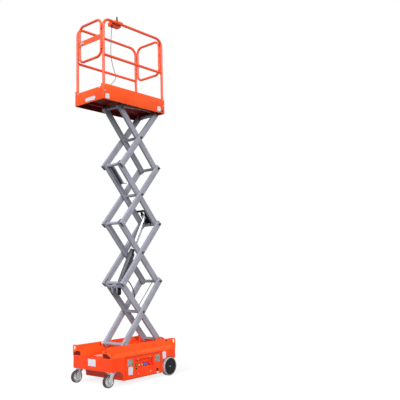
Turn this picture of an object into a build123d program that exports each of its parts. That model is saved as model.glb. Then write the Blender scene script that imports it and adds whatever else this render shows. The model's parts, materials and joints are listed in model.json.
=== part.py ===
# Small self-propelled scissor lift, raised. Millimetres, Z up, ground at Z 0, drive wheels toward +X,
# entry gate and casters toward -X, ground controls on the -Y side.
from build123d import *
from math import atan2, cos, degrees, radians, sin, tan
import os

# Chassis
BODY_LENGTH = 1196.0
BODY_WIDTH = 764.0
BODY_WALL = 4.0
SIDE_WALL = 10.0
HULL_BOTTOM = 60.0
NOSE_BOTTOM = 190.0
TAIL_BOTTOM = 222.0
DECK_Z = 352.0
HULL_NOSE_INSET = 218.0
HULL_TAIL_INSET = 258.0
ARCH_RADIUS = 100.0
ARCH_BOW = 0.66
BODY_BEND = 14.0
BEAM_TOP = 420.0
BEAM_CLEARANCE = 11.0
BEAM_WALL = 5.0
FENCE_INSET = 72.0
FENCE_THICK = 6.0
FENCE_TOP = 492.0
DOOR_DEPTH = 5.0
PANEL_LENGTH = 336.0
PANEL_HEIGHT = 160.0
PANEL_DEPTH = 56.0
PACK_HEIGHT = 194.0
PACK_CLEARANCE = 112.0
PACK_NOSE_GAP = 130.0
PACK_TAIL_GAP = 150.0
BRACKET_FOOT = 70.0
BRACKET_TOP = 30.0
BRACKET_TAIL = 110.0

# Scissor
STAGES = 4
ARM_PITCH = 1065.0
REST_ANGLE = 50.2
FOLDED_ANGLE = 4.85
ARM_HEIGHT = 80.0
ARM_WIDTH = 40.0
ARM_WALL = 4.0
ARM_END = 36.0
ARM_GAP = 6.0
SCISSOR_WIDTH = 414.0
PIVOT_INSET = 110.0
PIVOT_Z = 478.0
SHAFT_RADIUS = 18.0
PIN_CLEARANCE = 0.3
ROLLER_RADIUS = 35.0
ROLLER_WIDTH = 24.0

# Lifting cylinder, pins measured along the arms
LOW_PIN_ALONG = 122.0
LOW_PIN_BELOW = 58.0
HIGH_PIN_ALONG = 147.0
HIGH_PIN_ABOVE = 20.0
BARREL_RADIUS = 38.0
ROD_RADIUS = 22.0
EYE_RADIUS = 30.0
EYE_WIDTH = 50.0
FOOT_PIN_RADIUS = 12.0
LUG_THICK = 14.0
LUG_GAP = 5.0
BARREL_LENGTH = 640.0
PROP_LENGTH = 390.0

# Wheels
DRIVE_RADIUS = 125.0
DRIVE_WIDTH = 76.0
DRIVE_INSET = 130.0
DRIVE_PROUD = 23.0
AXLE_RADIUS = 16.0
MOTOR_RADIUS = 62.0
MOTOR_LENGTH = 150.0
MOTOR_MOUNT = 100.0
CASTER_RADIUS = 80.0
CASTER_WIDTH = 44.0
CASTER_INSET = 62.0
CASTER_TRAIL = 50.0
CASTER_SIDE_INSET = 63.0
CASTER_PLATE = 110.0

# Platform
PLATFORM_LENGTH = 1176.0
PLATFORM_WIDTH = 600.0
PLATFORM_OVERHANG = 64.0
SKIRT_HEIGHT = 214.0
ENTRY_HEIGHT = 178.0
SKIRT_WALL = 4.0
PIN_ABOVE_SKIRT = 10.0
FLOOR_UNDER = 76.0
RAIL_TOP = 1148.0
RAIL_RADIUS = 19.0
RAIL_WALL = 3.0
RAIL_BEND = 110.0
POST_INSET = 30.0
MID_RAIL_Z = 620.0
MID_RADIUS = 18.5
LOOP_RADIUS = 18.0
LOOP_LOW = 595.0
LOOP_HIGH = 1148.0
LOOP_BEND = 90.0
BOX_INSET = 172.0
BOX_LENGTH = 165.0
BOX_WIDTH = 86.0
BOX_HEIGHT = 62.0
BOX_ABOVE_RAIL = 6.0
HOOK_LENGTH = 132.0
BAR_HEIGHT = 76.0
LATCH_INSET = 57.0
CABLE_RADIUS = 4.5

half = BODY_LENGTH / 2
nose_reach = half - CASTER_INSET + CASTER_TRAIL + CASTER_RADIUS
tail_reach = max(half, half - DRIVE_INSET + DRIVE_RADIUS)
body_x = (nose_reach - tail_reach) / 2
nose_x = body_x - half
tail_x = body_x + half
side_y = BODY_WIDTH / 2
hull_nose = nose_x + HULL_NOSE_INSET
hull_tail = tail_x - HULL_TAIL_INSET
fence_y = side_y - FENCE_INSET
drive_x = tail_x - DRIVE_INSET
drive_outer = side_y + DRIVE_PROUD
caster_y = side_y - CASTER_SIDE_INSET
swivel_x = nose_x + CASTER_INSET

theta = radians(REST_ANGLE)
stage_rise = ARM_PITCH * sin(theta)
stage_run = ARM_PITCH * cos(theta)
right_x = tail_x - PIVOT_INSET
left_x = right_x - stage_run
outer_y = SCISSOR_WIDTH / 2
inner_y = outer_y - ARM_WIDTH - ARM_GAP
inner_face = inner_y - ARM_WIDTH
beam_inner = outer_y + BEAM_CLEARANCE
top_pin_z = PIVOT_Z + STAGES * stage_rise

skirt_z = top_pin_z - PIN_ABOVE_SKIRT
floor_z = skirt_z + FLOOR_UNDER + SKIRT_WALL
plat_right = right_x + PLATFORM_OVERHANG
plat_left = plat_right - PLATFORM_LENGTH
plat_y = PLATFORM_WIDTH / 2

nodes = {}


def block(x0, x1, y0, y1, z0, z1):
    return Pos((x0 + x1) / 2, (y0 + y1) / 2, (z0 + z1) / 2) * Box(x1 - x0, y1 - y0, z1 - z0)


def rod_y(x, z, y0, y1, radius):
    return Pos(x, (y0 + y1) / 2, z) * Rot(90, 0, 0) * Cylinder(radius, y1 - y0)


def rod_z(x, y, z0, z1, radius):
    return Pos(x, y, (z0 + z1) / 2) * Cylinder(radius, z1 - z0)


def rod_x(x0, x1, y, z, radius):
    return Pos((x0 + x1) / 2, y, z) * Rot(0, 90, 0) * Cylinder(radius, x1 - x0)


def plate_xz(points, y0, y1):
    face = make_face(Polyline(*[(x, y0, z) for x, z in points], close=True))
    return extrude(face, amount=y1 - y0, dir=(0, 1, 0))


def plate_yz(points, x0, x1):
    face = make_face(Polyline(*[(x0, y, z) for y, z in points], close=True))
    return extrude(face, amount=x1 - x0, dir=(1, 0, 0))


def wheel_y(profile, x, y, z):
    # profile is (radius, offset along Y); the piece is turned about its own axle
    face = make_face(Polyline(*[(r, s, 0) for r, s in profile], close=True))
    return Pos(x, y, z) * revolve(face, Axis.Y)


def pipe(points, bend, radius, wall):
    path = FilletPolyline(*points, radius=bend)
    outer = sweep(Plane(path @ 0, z_dir=path % 0) * Circle(radius), path=path)
    inner = sweep(Plane(path @ 0, z_dir=path % 0) * Circle(radius - wall), path=path)
    return outer - inner


def loop_rod(x, y_half, z0, z1, bend, radius):
    # closed rounded rectangle of bar standing across the platform
    frame = Plane(origin=(x, 0, (z0 + z1) / 2), x_dir=(0, 1, 0), z_dir=(1, 0, 0))
    path = (frame * RectangleRounded(2 * y_half, z1 - z0, bend)).face().outer_wire()
    return sweep(Plane(path @ 0, z_dir=path % 0) * Circle(radius), path=path)


def mirrored(solid):
    return [solid, mirror(solid, about=Plane.XZ)]


def solids_of(pieces):
    found = []
    for piece in pieces if isinstance(pieces, (list, tuple)) else [pieces]:
        found.extend(piece.solids())
    return found


def add(name, pieces):
    nodes[name] = solids_of(pieces)


# Chassis: a folded sheet box with a belly tub below it, arched over the casters, open at the drive wheels
def hull_side(nose, tail, deck, wall):
    low, nose_z, tail_z = HULL_BOTTOM + wall, NOSE_BOTTOM + wall, TAIL_BOTTOM + wall
    radius = ARCH_RADIUS + wall
    start = hull_nose - ARCH_RADIUS
    arc_z = NOSE_BOTTOM - ARCH_RADIUS
    edge = Polyline((hull_nose + wall, 0, arc_z), (hull_nose + wall, 0, low), (hull_tail - wall, 0, low),
                    (hull_tail - wall, 0, tail_z), (tail, 0, tail_z), (tail, 0, deck), (nose, 0, deck),
                    (nose, 0, nose_z), (start, 0, nose_z))
    arch = ThreePointArc((start, 0, nose_z), (start + ARCH_BOW * radius, 0, arc_z + ARCH_BOW * radius),
                         (hull_nose + wall, 0, arc_z))
    return make_face(edge.edges() + arch.edges())


hull = extrude(hull_side(nose_x, tail_x, DECK_Z, 0.0), amount=side_y, dir=(0, 1, 0), both=True)
corners = hull.edges().filter_by(Axis.Z).sort_by(Axis.X)
hull = fillet(corners[:2] + corners[-2:], BODY_BEND)
cavity = extrude(hull_side(nose_x + BODY_WALL, tail_x - BODY_WALL, DECK_Z - BODY_WALL, BODY_WALL),
                 amount=side_y - SIDE_WALL, dir=(0, 1, 0), both=True)
well_y = drive_outer - DRIVE_WIDTH - 9.0
well_radius = DRIVE_RADIUS + 10.0
for sign in (-1, 1):
    guard = rod_y(drive_x, DRIVE_RADIUS, well_y - BODY_WALL, side_y, well_radius + BODY_WALL)
    cavity -= guard if sign > 0 else mirror(guard, about=Plane.XZ)
hull -= cavity
for sign in (-1, 1):
    well = rod_y(drive_x, DRIVE_RADIUS, well_y, side_y + 1.0, well_radius)
    hull -= well if sign > 0 else mirror(well, about=Plane.XZ)

# Bolted side doors, flush in shallow pockets; the near one is cut for the sunk ground control panel
door_x0, door_x1 = hull_nose + 32.0, hull_tail - 38.0
door_z0, door_z1 = HULL_BOTTOM + 4.0, DECK_Z - 8.0
pocket = block(door_x0, door_x1, side_y - DOOR_DEPTH, side_y + 1.0, door_z0, door_z1)
panel_x0, panel_x1 = body_x - 14.0 - PANEL_LENGTH / 2, body_x - 14.0 + PANEL_LENGTH / 2
panel_z1 = DECK_Z - 57.0
panel_z0 = panel_z1 - PANEL_HEIGHT
opening = block(panel_x0, panel_x1, -side_y - 1.0, -side_y + PANEL_DEPTH, panel_z0, panel_z1)
socket_x, socket_z = door_x1 - 72.0, HULL_BOTTOM + 57.0
hull -= pocket
hull -= mirror(pocket, about=Plane.XZ)
hull -= opening
below = block(nose_x - 1, tail_x + 1, -side_y - 1, side_y + 1, HULL_BOTTOM - 1, NOSE_BOTTOM)
add("chassis_hull", hull - below)
add("chassis_belly", hull & below)

seam = 2.5
door = block(door_x0 + seam, door_x1 - seam, side_y - DOOR_DEPTH, side_y, door_z0 + seam, door_z1 - seam)
near_door = mirror(door, about=Plane.XZ) - opening
near_door -= rod_y(socket_x, socket_z, -side_y - 1.0, -side_y + DOOR_DEPTH + 1.0, 13.0)
add("door_near", near_door)
add("door_far", door)

# Control panel: a moulded tray whose face leans back from its lower edge
panel_wall = 3.0
deep_y = -side_y + PANEL_DEPTH - panel_wall
face_z0, face_z1 = panel_z0 + panel_wall, panel_z1 - 24.0
tray = block(panel_x0, panel_x1, -side_y + 1.0, -side_y + PANEL_DEPTH, panel_z0, panel_z1)
ledge_z = panel_z1 - panel_wall
lean = [(-side_y, face_z0), (deep_y, face_z1), (deep_y, ledge_z), (-side_y, ledge_z)]
tray -= plate_yz(lean, panel_x0 + panel_wall, panel_x1 - panel_wall)
add("ground_panel", tray)

# Emergency stop standing square to the leaning face
stop_x, stop_share = panel_x1 - 47.0, 0.58
stop_y = -side_y + stop_share * (deep_y + side_y)
stop_z = face_z0 + stop_share * (face_z1 - face_z0)
face_lean = degrees(atan2(face_z1 - face_z0, deep_y + side_y))
knob = Pos(0, 0, 7.0) * Cylinder(12.0, 14.0) + Pos(0, 0, 19.0) * Cylinder(24.0, 10.0)
add("ground_stop", Pos(stop_x, stop_y, stop_z) * Rot(face_lean, 0, 0) * knob)
add("charger_socket", rod_y(socket_x, socket_z, -side_y - 5.0, -side_y + DOOR_DEPTH, 12.7)
    + rod_y(socket_x, socket_z, -side_y - 9.0, -side_y, 19.0))

# Side beams: open-ended boxes with a roller track, a fence plate and a slotted eye at each end
beam_out = [(beam_inner, DECK_Z), (side_y, DECK_Z), (side_y, BEAM_TOP - 40.0), (fence_y + 4.0, BEAM_TOP),
            (beam_inner, BEAM_TOP)]
beam_in = [(beam_inner + BEAM_WALL, DECK_Z + BEAM_WALL), (side_y - BEAM_WALL, DECK_Z + BEAM_WALL),
           (side_y - BEAM_WALL, BEAM_TOP - 42.0), (fence_y + 2.0, BEAM_TOP - BEAM_WALL),
           (beam_inner + BEAM_WALL, BEAM_TOP - BEAM_WALL)]
beam = plate_yz(beam_out, nose_x, tail_x)
track_z = PIVOT_Z - ROLLER_RADIUS - 0.3
beam += block(nose_x, body_x + 120.0, beam_inner, beam_inner + 34.0, BEAM_TOP, track_z)
beam += block(nose_x, tail_x, fence_y - FENCE_THICK, fence_y, BEAM_TOP, FENCE_TOP)
beam -= rod_y(right_x, PIVOT_Z - 12.0, fence_y - FENCE_THICK - 1.0, fence_y + 1.0, 11.0)
eye_thick = 8.0
for x0 in (nose_x, tail_x - eye_thick):
    eye = block(x0, x0 + eye_thick, fence_y - FENCE_THICK, side_y, BEAM_TOP - 40.0, FENCE_TOP)
    eye = fillet(eye.edges().filter_by(Axis.X).sort_by(Axis.Z)[-2:].sort_by(Axis.Y)[-1], 16.0)
    slot_y = (fence_y + side_y) / 2 + 2.0
    slot = Plane(origin=(x0 - 1.0, slot_y, BEAM_TOP + 34.0), x_dir=(0, 0, 1), z_dir=(1, 0, 0))
    eye -= extrude(slot * SlotOverall(50.0, 30.0), amount=eye_thick + 2.0)
    beam += eye
beam -= plate_yz(beam_in, nose_x - 1.0, tail_x + 1.0)
add("side_beams", mirrored(beam))

bracket_top = PIVOT_Z + BRACKET_TOP
bracket_y0, bracket_y1 = inner_y + ARM_GAP, outer_y - 2.0
bracket = plate_xz([(right_x - BRACKET_FOOT, DECK_Z), (right_x + BRACKET_TAIL - 6.0, DECK_Z),
                    (right_x + BRACKET_TAIL - 6.0, PIVOT_Z - BRACKET_TOP / 2), (right_x + BRACKET_TOP, bracket_top),
                    (right_x - BRACKET_TOP, bracket_top)], bracket_y0, bracket_y1)
bracket -= rod_y(right_x, PIVOT_Z, bracket_y0 - 1.0, bracket_y1 + 1.0, SHAFT_RADIUS + PIN_CLEARANCE)
add("pivot_brackets", mirrored(bracket))

pack_z = HULL_BOTTOM + BODY_WALL
pack_y = side_y - PACK_CLEARANCE
add("power_pack", block(hull_nose + PACK_NOSE_GAP, hull_tail - PACK_TAIL_GAP, -pack_y, pack_y, pack_z, pack_z + PACK_HEIGHT))

motor = rod_y(drive_x, DRIVE_RADIUS, well_y - MOTOR_LENGTH, well_y, MOTOR_RADIUS)
motor += block(drive_x - MOTOR_MOUNT / 2, drive_x + MOTOR_MOUNT / 2, well_y - MOTOR_LENGTH + 20.0, well_y - 20.0,
               DRIVE_RADIUS, TAIL_BOTTOM)
motor += rod_y(drive_x, DRIVE_RADIUS, well_y, drive_outer - 20.0, AXLE_RADIUS)
add("drive_motors", mirrored(motor))

# Drive wheels: solid tyre on a dished disc, running on the motor's axle
drive_mid = drive_outer - DRIVE_WIDTH / 2
w = DRIVE_WIDTH / 2
rim = DRIVE_RADIUS - 15.0
tyre = wheel_y([(rim, -w + 3), (DRIVE_RADIUS - 8, -w), (DRIVE_RADIUS, -w + 8), (DRIVE_RADIUS, w - 8),
                (DRIVE_RADIUS - 8, w), (rim, w - 3)], drive_x, drive_mid, DRIVE_RADIUS)
bore = AXLE_RADIUS + PIN_CLEARANCE
disc = wheel_y([(bore, -w + 8), (40, -w + 8), (40, -6), (rim - 12, -6), (rim - 12, -w + 6),
                (rim - 0.2, -w + 6), (rim - 0.2, w - 5), (rim - 8, w - 5), (rim - 14, w - 10), (30, w - 10),
                (28, w - 3), (0, w - 3), (0, w - 16), (bore, w - 16)], drive_x, drive_mid, DRIVE_RADIUS)
add("drive_tyre_far", tyre)
add("drive_tyre_near", mirror(tyre, about=Plane.XZ))
add("drive_disc_far", disc)
add("drive_disc_near", mirror(disc, about=Plane.XZ))

# Casters: plate and kingpin on the chassis, swivelling fork, plain wheel
fork_top = NOSE_BOTTOM - 14.0
mount = block(swivel_x - CASTER_PLATE / 2, swivel_x + CASTER_PLATE / 2, caster_y - 45.0, caster_y + 45.0,
              NOSE_BOTTOM - 7.0, NOSE_BOTTOM)
mount += rod_z(swivel_x, caster_y, fork_top - 2.0, NOSE_BOTTOM - 7.0, 12.0)
add("caster_mounts", mirrored(mount))
wheel_x = swivel_x - CASTER_TRAIL
cheek0 = CASTER_WIDTH / 2 + 5.0
cheek1 = cheek0 + 5.0
fork = rod_z(swivel_x, caster_y, fork_top - 8.0, fork_top + 6.0, 36.0)
fork -= rod_z(swivel_x, caster_y, fork_top - 2.4, fork_top + 7.0, 12.0 + PIN_CLEARANCE)
for y0 in (caster_y - cheek1, caster_y + cheek0):
    fork += plate_xz([(swivel_x + 36.0, fork_top - 1.0), (swivel_x - 36.0, fork_top - 1.0),
                      (wheel_x - 15.0, CASTER_RADIUS + 14.0), (wheel_x - 15.0, CASTER_RADIUS - 15.0),
                      (wheel_x + 15.0, CASTER_RADIUS - 15.0)], y0, y0 + 5.0)
fork += block(swivel_x - 36.0, swivel_x + 36.0, caster_y - cheek1, caster_y + cheek1,
              fork_top - 8.0, fork_top - 1.0)
fork -= rod_z(swivel_x, caster_y, fork_top - 2.4, fork_top + 7.0, 12.0 + PIN_CLEARANCE)
fork += rod_y(wheel_x, CASTER_RADIUS, caster_y - cheek1 - 5.0, caster_y + cheek1 + 5.0, 7.0)
c = CASTER_WIDTH / 2
rim = wheel_y([(7.0 + PIN_CLEARANCE, -c - 2), (20, -c - 2), (20, -6), (56, -6), (56, -c + 3), (66, -c + 3),
               (66, c - 3), (56, c - 3), (56, 6), (20, 6), (20, c + 2), (7.0 + PIN_CLEARANCE, c + 2)],
              wheel_x, caster_y, CASTER_RADIUS)
band = wheel_y([(66.1, -c + 1), (CASTER_RADIUS - 5, -c), (CASTER_RADIUS, -c + 7), (CASTER_RADIUS, c - 7),
                (CASTER_RADIUS - 5, c), (66.1, c - 1)], wheel_x, caster_y, CASTER_RADIUS)
for name, piece in (("caster_fork", fork), ("caster_rim", rim), ("caster_tyre", band)):
    add(name + "_far", piece)
    add(name + "_near", mirror(piece, about=Plane.XZ))


# Scissor arms: open rectangular tubes with a sleeve at each pin
def arm(y_out, bore_pins, fit):
    length = ARM_PITCH + 2 * ARM_END
    y0, y1 = y_out - ARM_WIDTH, y_out
    h = ARM_HEIGHT / 2
    tube = block(-ARM_END, length - ARM_END, y0, y1, -h, h)
    tube -= block(-ARM_END - 1, length, y0 + ARM_WALL, y1 - ARM_WALL, -h + ARM_WALL, h - ARM_WALL)
    for x in bore_pins:
        tube += rod_y(x, 0, y0, y1, SHAFT_RADIUS + 9.0)
    for x in bore_pins:
        tube -= rod_y(x, 0, y0 - 1, y1 + 1, SHAFT_RADIUS + fit)
    return tube


def placed(piece, x, z, angle):
    return Pos(x, 0, z) * Rot(0, -angle, 0) * piece


pins = (0.0, ARM_PITCH / 2, ARM_PITCH)
outer_arm = arm(outer_y, pins, PIN_CLEARANCE)
inner_arm = arm(inner_y, pins, 0.05)
mid_x = (left_x + right_x) / 2
shaft_tip = outer_y + 5.0
collar = SHAFT_RADIUS + 8.0


def shaft(x, z, tip=shaft_tip):
    bar = rod_y(x, z, -tip, tip, SHAFT_RADIUS)
    for side in (-1, 1):
        y0, y1 = sorted((side * (inner_y + 0.3), side * (inner_y + ARM_GAP - 0.5)))
        bar += rod_y(x, z, y0, y1, collar)
        if tip > outer_y:
            y0, y1 = sorted((side * (outer_y + 0.5), side * tip))
            bar += rod_y(x, z, y0, y1, collar - 2.0)
    return bar


for stage in range(1, STAGES + 1):
    low_z = PIVOT_Z + (stage - 1) * stage_rise
    high_z = low_z + stage_rise
    mid_z = (low_z + high_z) / 2
    add(f"outer_arms_{stage}", mirrored(placed(outer_arm, left_x, low_z, REST_ANGLE)))
    add(f"inner_arms_{stage}", mirrored(placed(inner_arm, left_x, high_z, -REST_ANGLE)))
    low_shaft = shaft(right_x, low_z) if stage > 1 else shaft(right_x, low_z, outer_y - 3.0)
    high_shaft = shaft(left_x, high_z) if stage < STAGES else rod_y(
        left_x, high_z, -inner_y - ARM_GAP - ROLLER_WIDTH, inner_y + ARM_GAP + ROLLER_WIDTH, SHAFT_RADIUS)
    centre = shaft(mid_x, mid_z)
    if stage == 2:
        centre -= block(mid_x - 60, mid_x + 60, -inner_face + 6.0, inner_face - 6.0, mid_z - 60, mid_z + 60)
    add(f"cross_shafts_{stage}", [low_shaft, centre, high_shaft])

roller = rod_y(0, 0, 0, ROLLER_WIDTH, ROLLER_RADIUS) - rod_y(0, 0, -1, ROLLER_WIDTH + 1, SHAFT_RADIUS + 0.1)
low_roller_y = outer_y + 6.0
add("slide_shaft", rod_y(left_x, PIVOT_Z, -low_roller_y - ROLLER_WIDTH, low_roller_y + ROLLER_WIDTH,
                         SHAFT_RADIUS))
add("lower_rollers", mirrored(Pos(left_x, low_roller_y, PIVOT_Z) * roller))
high_roller_y = inner_y + ARM_GAP
add("upper_rollers", mirrored(Pos(left_x, high_roller_y, top_pin_z) * roller))

# Lifting cylinder from the first inner frame to the third
ax, az = cos(theta), -sin(theta)
low_pin = (left_x + LOW_PIN_ALONG * ax + LOW_PIN_BELOW * az,
           PIVOT_Z + stage_rise + LOW_PIN_ALONG * az - LOW_PIN_BELOW * ax)
high_pin = (right_x - HIGH_PIN_ALONG * ax - HIGH_PIN_ABOVE * az,
            PIVOT_Z + 2 * stage_rise - HIGH_PIN_ALONG * az + HIGH_PIN_ABOVE * ax)
reach = Vector(high_pin[0] - low_pin[0], 0, high_pin[1] - low_pin[1])
cyl_angle = Vector(1, 0, 0).get_signed_angle(reach, Vector(0, -1, 0))
gland = BARREL_LENGTH + 26.0
barrel = rod_x(20.0, BARREL_LENGTH, 0, 0, BARREL_RADIUS)
barrel += rod_y(0, 0, -BARREL_RADIUS, BARREL_RADIUS, EYE_RADIUS)
barrel += rod_x(BARREL_LENGTH, gland, 0, 0, BARREL_RADIUS - 4.0)
barrel -= rod_x(60.0, gland + 1.0, 0, 0, ROD_RADIUS + 0.3)
barrel -= rod_y(0, 0, -EYE_WIDTH, EYE_WIDTH, FOOT_PIN_RADIUS + PIN_CLEARANCE)
add("cylinder_barrel", placed(barrel, low_pin[0], low_pin[1], cyl_angle))
rod = rod_x(gland - 90.0, reach.length - 20.0, 0, 0, ROD_RADIUS)
rod += rod_y(reach.length, 0, -EYE_WIDTH / 2, EYE_WIDTH / 2, EYE_RADIUS)
add("cylinder_rod", placed(rod, low_pin[0], low_pin[1], cyl_angle))

lug_y0 = BARREL_RADIUS + LUG_GAP
lug_y1 = lug_y0 + LUG_THICK
foot_x0, foot_x1 = SHAFT_RADIUS + 8.0, SHAFT_RADIUS + 34.0
low_x, low_z = LOW_PIN_ALONG, -LOW_PIN_BELOW
low_lug = plate_xz([(foot_x0, -8.0), (foot_x0, -ARM_HEIGHT / 2), (low_x - 20.0, low_z - 26.0),
                    (low_x + 20.0, low_z - 26.0), (low_x + 26.0, low_z), (low_x + 10.0, low_z + 26.0)],
                   lug_y0, lug_y1)
foot = block(foot_x0, foot_x1, -inner_face, inner_face, -ARM_HEIGHT / 2, -8.0)
foot += low_lug + mirror(low_lug, about=Plane.XZ)
foot += rod_y(low_x, low_z, -lug_y1 - 6.0, lug_y1 + 6.0, FOOT_PIN_RADIUS)
add("cylinder_foot", placed(foot, left_x, PIVOT_Z + stage_rise, -REST_ANGLE))
head_x, head_z = ARM_PITCH - HIGH_PIN_ALONG, HIGH_PIN_ABOVE
head_y0 = EYE_WIDTH / 2 + LUG_GAP
head_y1 = head_y0 + LUG_THICK
head_lug = plate_xz([(head_x - 100.0, head_z + 6.0), (head_x - 20.0, head_z - 30.0),
                     (head_x + 18.0, head_z - 28.0), (head_x + 34.0, head_z), (head_x + 18.0, head_z + 30.0),
                     (head_x - 70.0, ARM_HEIGHT / 2), (head_x - 100.0, ARM_HEIGHT / 2)], head_y0, head_y1)
head_lug += rod_y(head_x, head_z, head_y0, head_y1 + 8.0, FOOT_PIN_RADIUS + 4.0)
head = block(head_x - 100.0, head_x - 70.0, -inner_face, inner_face, head_z + 6.0, ARM_HEIGHT / 2)
head += head_lug + mirror(head_lug, about=Plane.XZ)
add("cylinder_head", placed(head, left_x, PIVOT_Z + 3 * stage_rise, -REST_ANGLE))

# Stowed maintenance prop along the third inner frame, far side
prop = block(30.0, 30.0 + PROP_LENGTH, inner_face - 26.0, inner_face - 8.0, -16.0, 16.0)
for x in (60.0, PROP_LENGTH - 30.0):
    prop += block(x, x + 24.0, inner_face - 10.0, inner_face, -12.0, 12.0)
add("safety_prop", placed(prop, left_x, PIVOT_Z + 3 * stage_rise, -REST_ANGLE))

# Platform tray: floor inside a folded skirt, lower at the entry
tray = block(plat_left, plat_right, -plat_y, plat_y, skirt_z, skirt_z + SKIRT_HEIGHT)
t = SKIRT_WALL
tray -= block(plat_left + t, plat_right - t, -plat_y + t, plat_y - t, skirt_z - 1, skirt_z + FLOOR_UNDER)
tray -= block(plat_left + t, plat_right - t, -plat_y + t, plat_y - t, floor_z, skirt_z + SKIRT_HEIGHT + 1)
tray -= block(plat_left - 1, plat_left + t + 1, -plat_y + 45, plat_y - 45, skirt_z + ENTRY_HEIGHT,
              skirt_z + SKIRT_HEIGHT + 1)
add("platform_tray", tray)

under_z = skirt_z + FLOOR_UNDER
track_low = top_pin_z + ROLLER_RADIUS + 0.3
runner_x0 = plat_left + 20.0
runner = block(runner_x0, left_x + 120.0, high_roller_y - 4.0, high_roller_y + ROLLER_WIDTH + 8.0,
               track_low, under_z)
lug_in0, lug_in1 = inner_y - 34.0, inner_y - 4.0
lug = plate_xz([(right_x - 50, under_z), (right_x + 50, under_z), (right_x + 28, top_pin_z - 28),
                (right_x - 28, top_pin_z - 28)], lug_in0, lug_in1)
under = [runner, mirror(runner, about=Plane.XZ)]
axle = rod_y(right_x, top_pin_z, -shaft_tip, shaft_tip, SHAFT_RADIUS) + lug + mirror(lug, about=Plane.XZ)
for y0, y1 in ((outer_y + 0.5, shaft_tip), (-shaft_tip, -outer_y - 0.5)):
    axle += rod_y(right_x, top_pin_z, y0, y1, collar - 2.0)
add("platform_tracks", under + [axle])

# Guard rails: bent tube arch and mid rail on each side
post_y = plat_y - SKIRT_WALL - RAIL_RADIUS - 0.2
post_x0, post_x1 = plat_left + POST_INSET, plat_right - POST_INSET
rail_z = skirt_z + RAIL_TOP - RAIL_RADIUS
arch = pipe([(post_x0, post_y, floor_z), (post_x0, post_y, rail_z), (post_x1, post_y, rail_z),
             (post_x1, post_y, floor_z)], RAIL_BEND, RAIL_RADIUS, RAIL_WALL)
mid = rod_x(post_x0 + RAIL_RADIUS - 3, post_x1 - RAIL_RADIUS + 3, post_y, skirt_z + MID_RAIL_Z, MID_RADIUS)
mid -= rod_z(post_x0, post_y, floor_z, rail_z, RAIL_RADIUS - 0.5)
mid -= rod_z(post_x1, post_y, floor_z, rail_z, RAIL_RADIUS - 0.5)
far_rail = arch + mid
near_rail = mirror(far_rail, about=Plane.XZ)

loop_half = post_y - RAIL_RADIUS - LOOP_RADIUS - 9.0
loop_z0, loop_z1 = skirt_z + LOOP_LOW + LOOP_RADIUS, skirt_z + LOOP_HIGH - LOOP_RADIUS
end_loop = loop_rod(post_x1, loop_half, loop_z0, loop_z1, LOOP_BEND, LOOP_RADIUS)
for z in (loop_z0 + LOOP_BEND + 40.0, loop_z1 - LOOP_BEND - 35.0):
    for side in (-1, 1):
        y0, y1 = sorted((side * (loop_half + 5.0), side * (post_y - RAIL_RADIUS + 4.0)))
        end_loop += block(post_x1 - 9, post_x1 + 9, y0, y1, z - 9, z + 9)
end_loop -= rod_z(post_x1, post_y, floor_z, rail_z, RAIL_RADIUS + 0.05)
end_loop -= rod_z(post_x1, -post_y, floor_z, rail_z, RAIL_RADIUS + 0.05)
end_loop -= loop_rod(post_x1, loop_half, loop_z0, loop_z1, LOOP_BEND, LOOP_RADIUS - RAIL_WALL)
add("end_loop", end_loop)

# Entry gate: loop with a flat bar and two hinge leaves, swung outward on the near post
hinge_x, hinge_y = post_x0 - RAIL_RADIUS - 6.0, -loop_half - LOOP_RADIUS - 4.0
gate = loop_rod(post_x0, loop_half, loop_z0, loop_z1, LOOP_BEND, LOOP_RADIUS)
add("gate_loop", gate - loop_rod(post_x0, loop_half, loop_z0, loop_z1, LOOP_BEND, LOOP_RADIUS - RAIL_WALL))
gate_seat = loop_rod(post_x0, loop_half, loop_z0, loop_z1, LOOP_BEND, LOOP_RADIUS + 0.05)
bar_z = (loop_z0 + loop_z1) / 2
bar_x = post_x0 - LOOP_RADIUS - 4.0
add("gate_bar", block(bar_x, bar_x + 6, -loop_half - 8, loop_half - 8, bar_z - BAR_HEIGHT / 2,
                      bar_z + BAR_HEIGHT / 2) - gate_seat)
leaves, knuckles = [], []
for z in (loop_z0 + LOOP_BEND + 30.0, loop_z1 - LOOP_BEND - 25.0):
    leaf = rod_z(hinge_x, hinge_y, z - 14, z + 14, 9.0)
    leaf += block(hinge_x, post_x0, hinge_y, -loop_half, z - 14, z + 14)
    leaves.append(leaf - rod_z(hinge_x, hinge_y, z - 20, z + 20, 5.0 + PIN_CLEARANCE) - gate_seat)
    knuckle = rod_z(hinge_x, hinge_y, z - 32, z - 15, 9.0) + rod_z(hinge_x, hinge_y, z - 32, z + 14, 5.0)
    knuckle += block(hinge_x - 4, post_x0 - 8, -post_y - 6, hinge_y, z - 32, z - 15)
    knuckles.append(knuckle - rod_z(post_x0, -post_y, floor_z, rail_z - RAIL_BEND, RAIL_RADIUS + 0.05))
add("gate_leaves", leaves)
add("gate_knuckles", knuckles)
add("guard_rail_near", near_rail)
add("guard_rail_far", far_rail)

# Gate latch plate on the bar's free end
latch_y = loop_half - LATCH_INSET
latch = block(bar_x - 8, bar_x, latch_y - 50, latch_y, bar_z - 16, bar_z + 16)
latch += rod_x(bar_x - 22, bar_x - 8, latch_y - 34, bar_z, 7.0)
add("gate_latch", latch)

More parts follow.
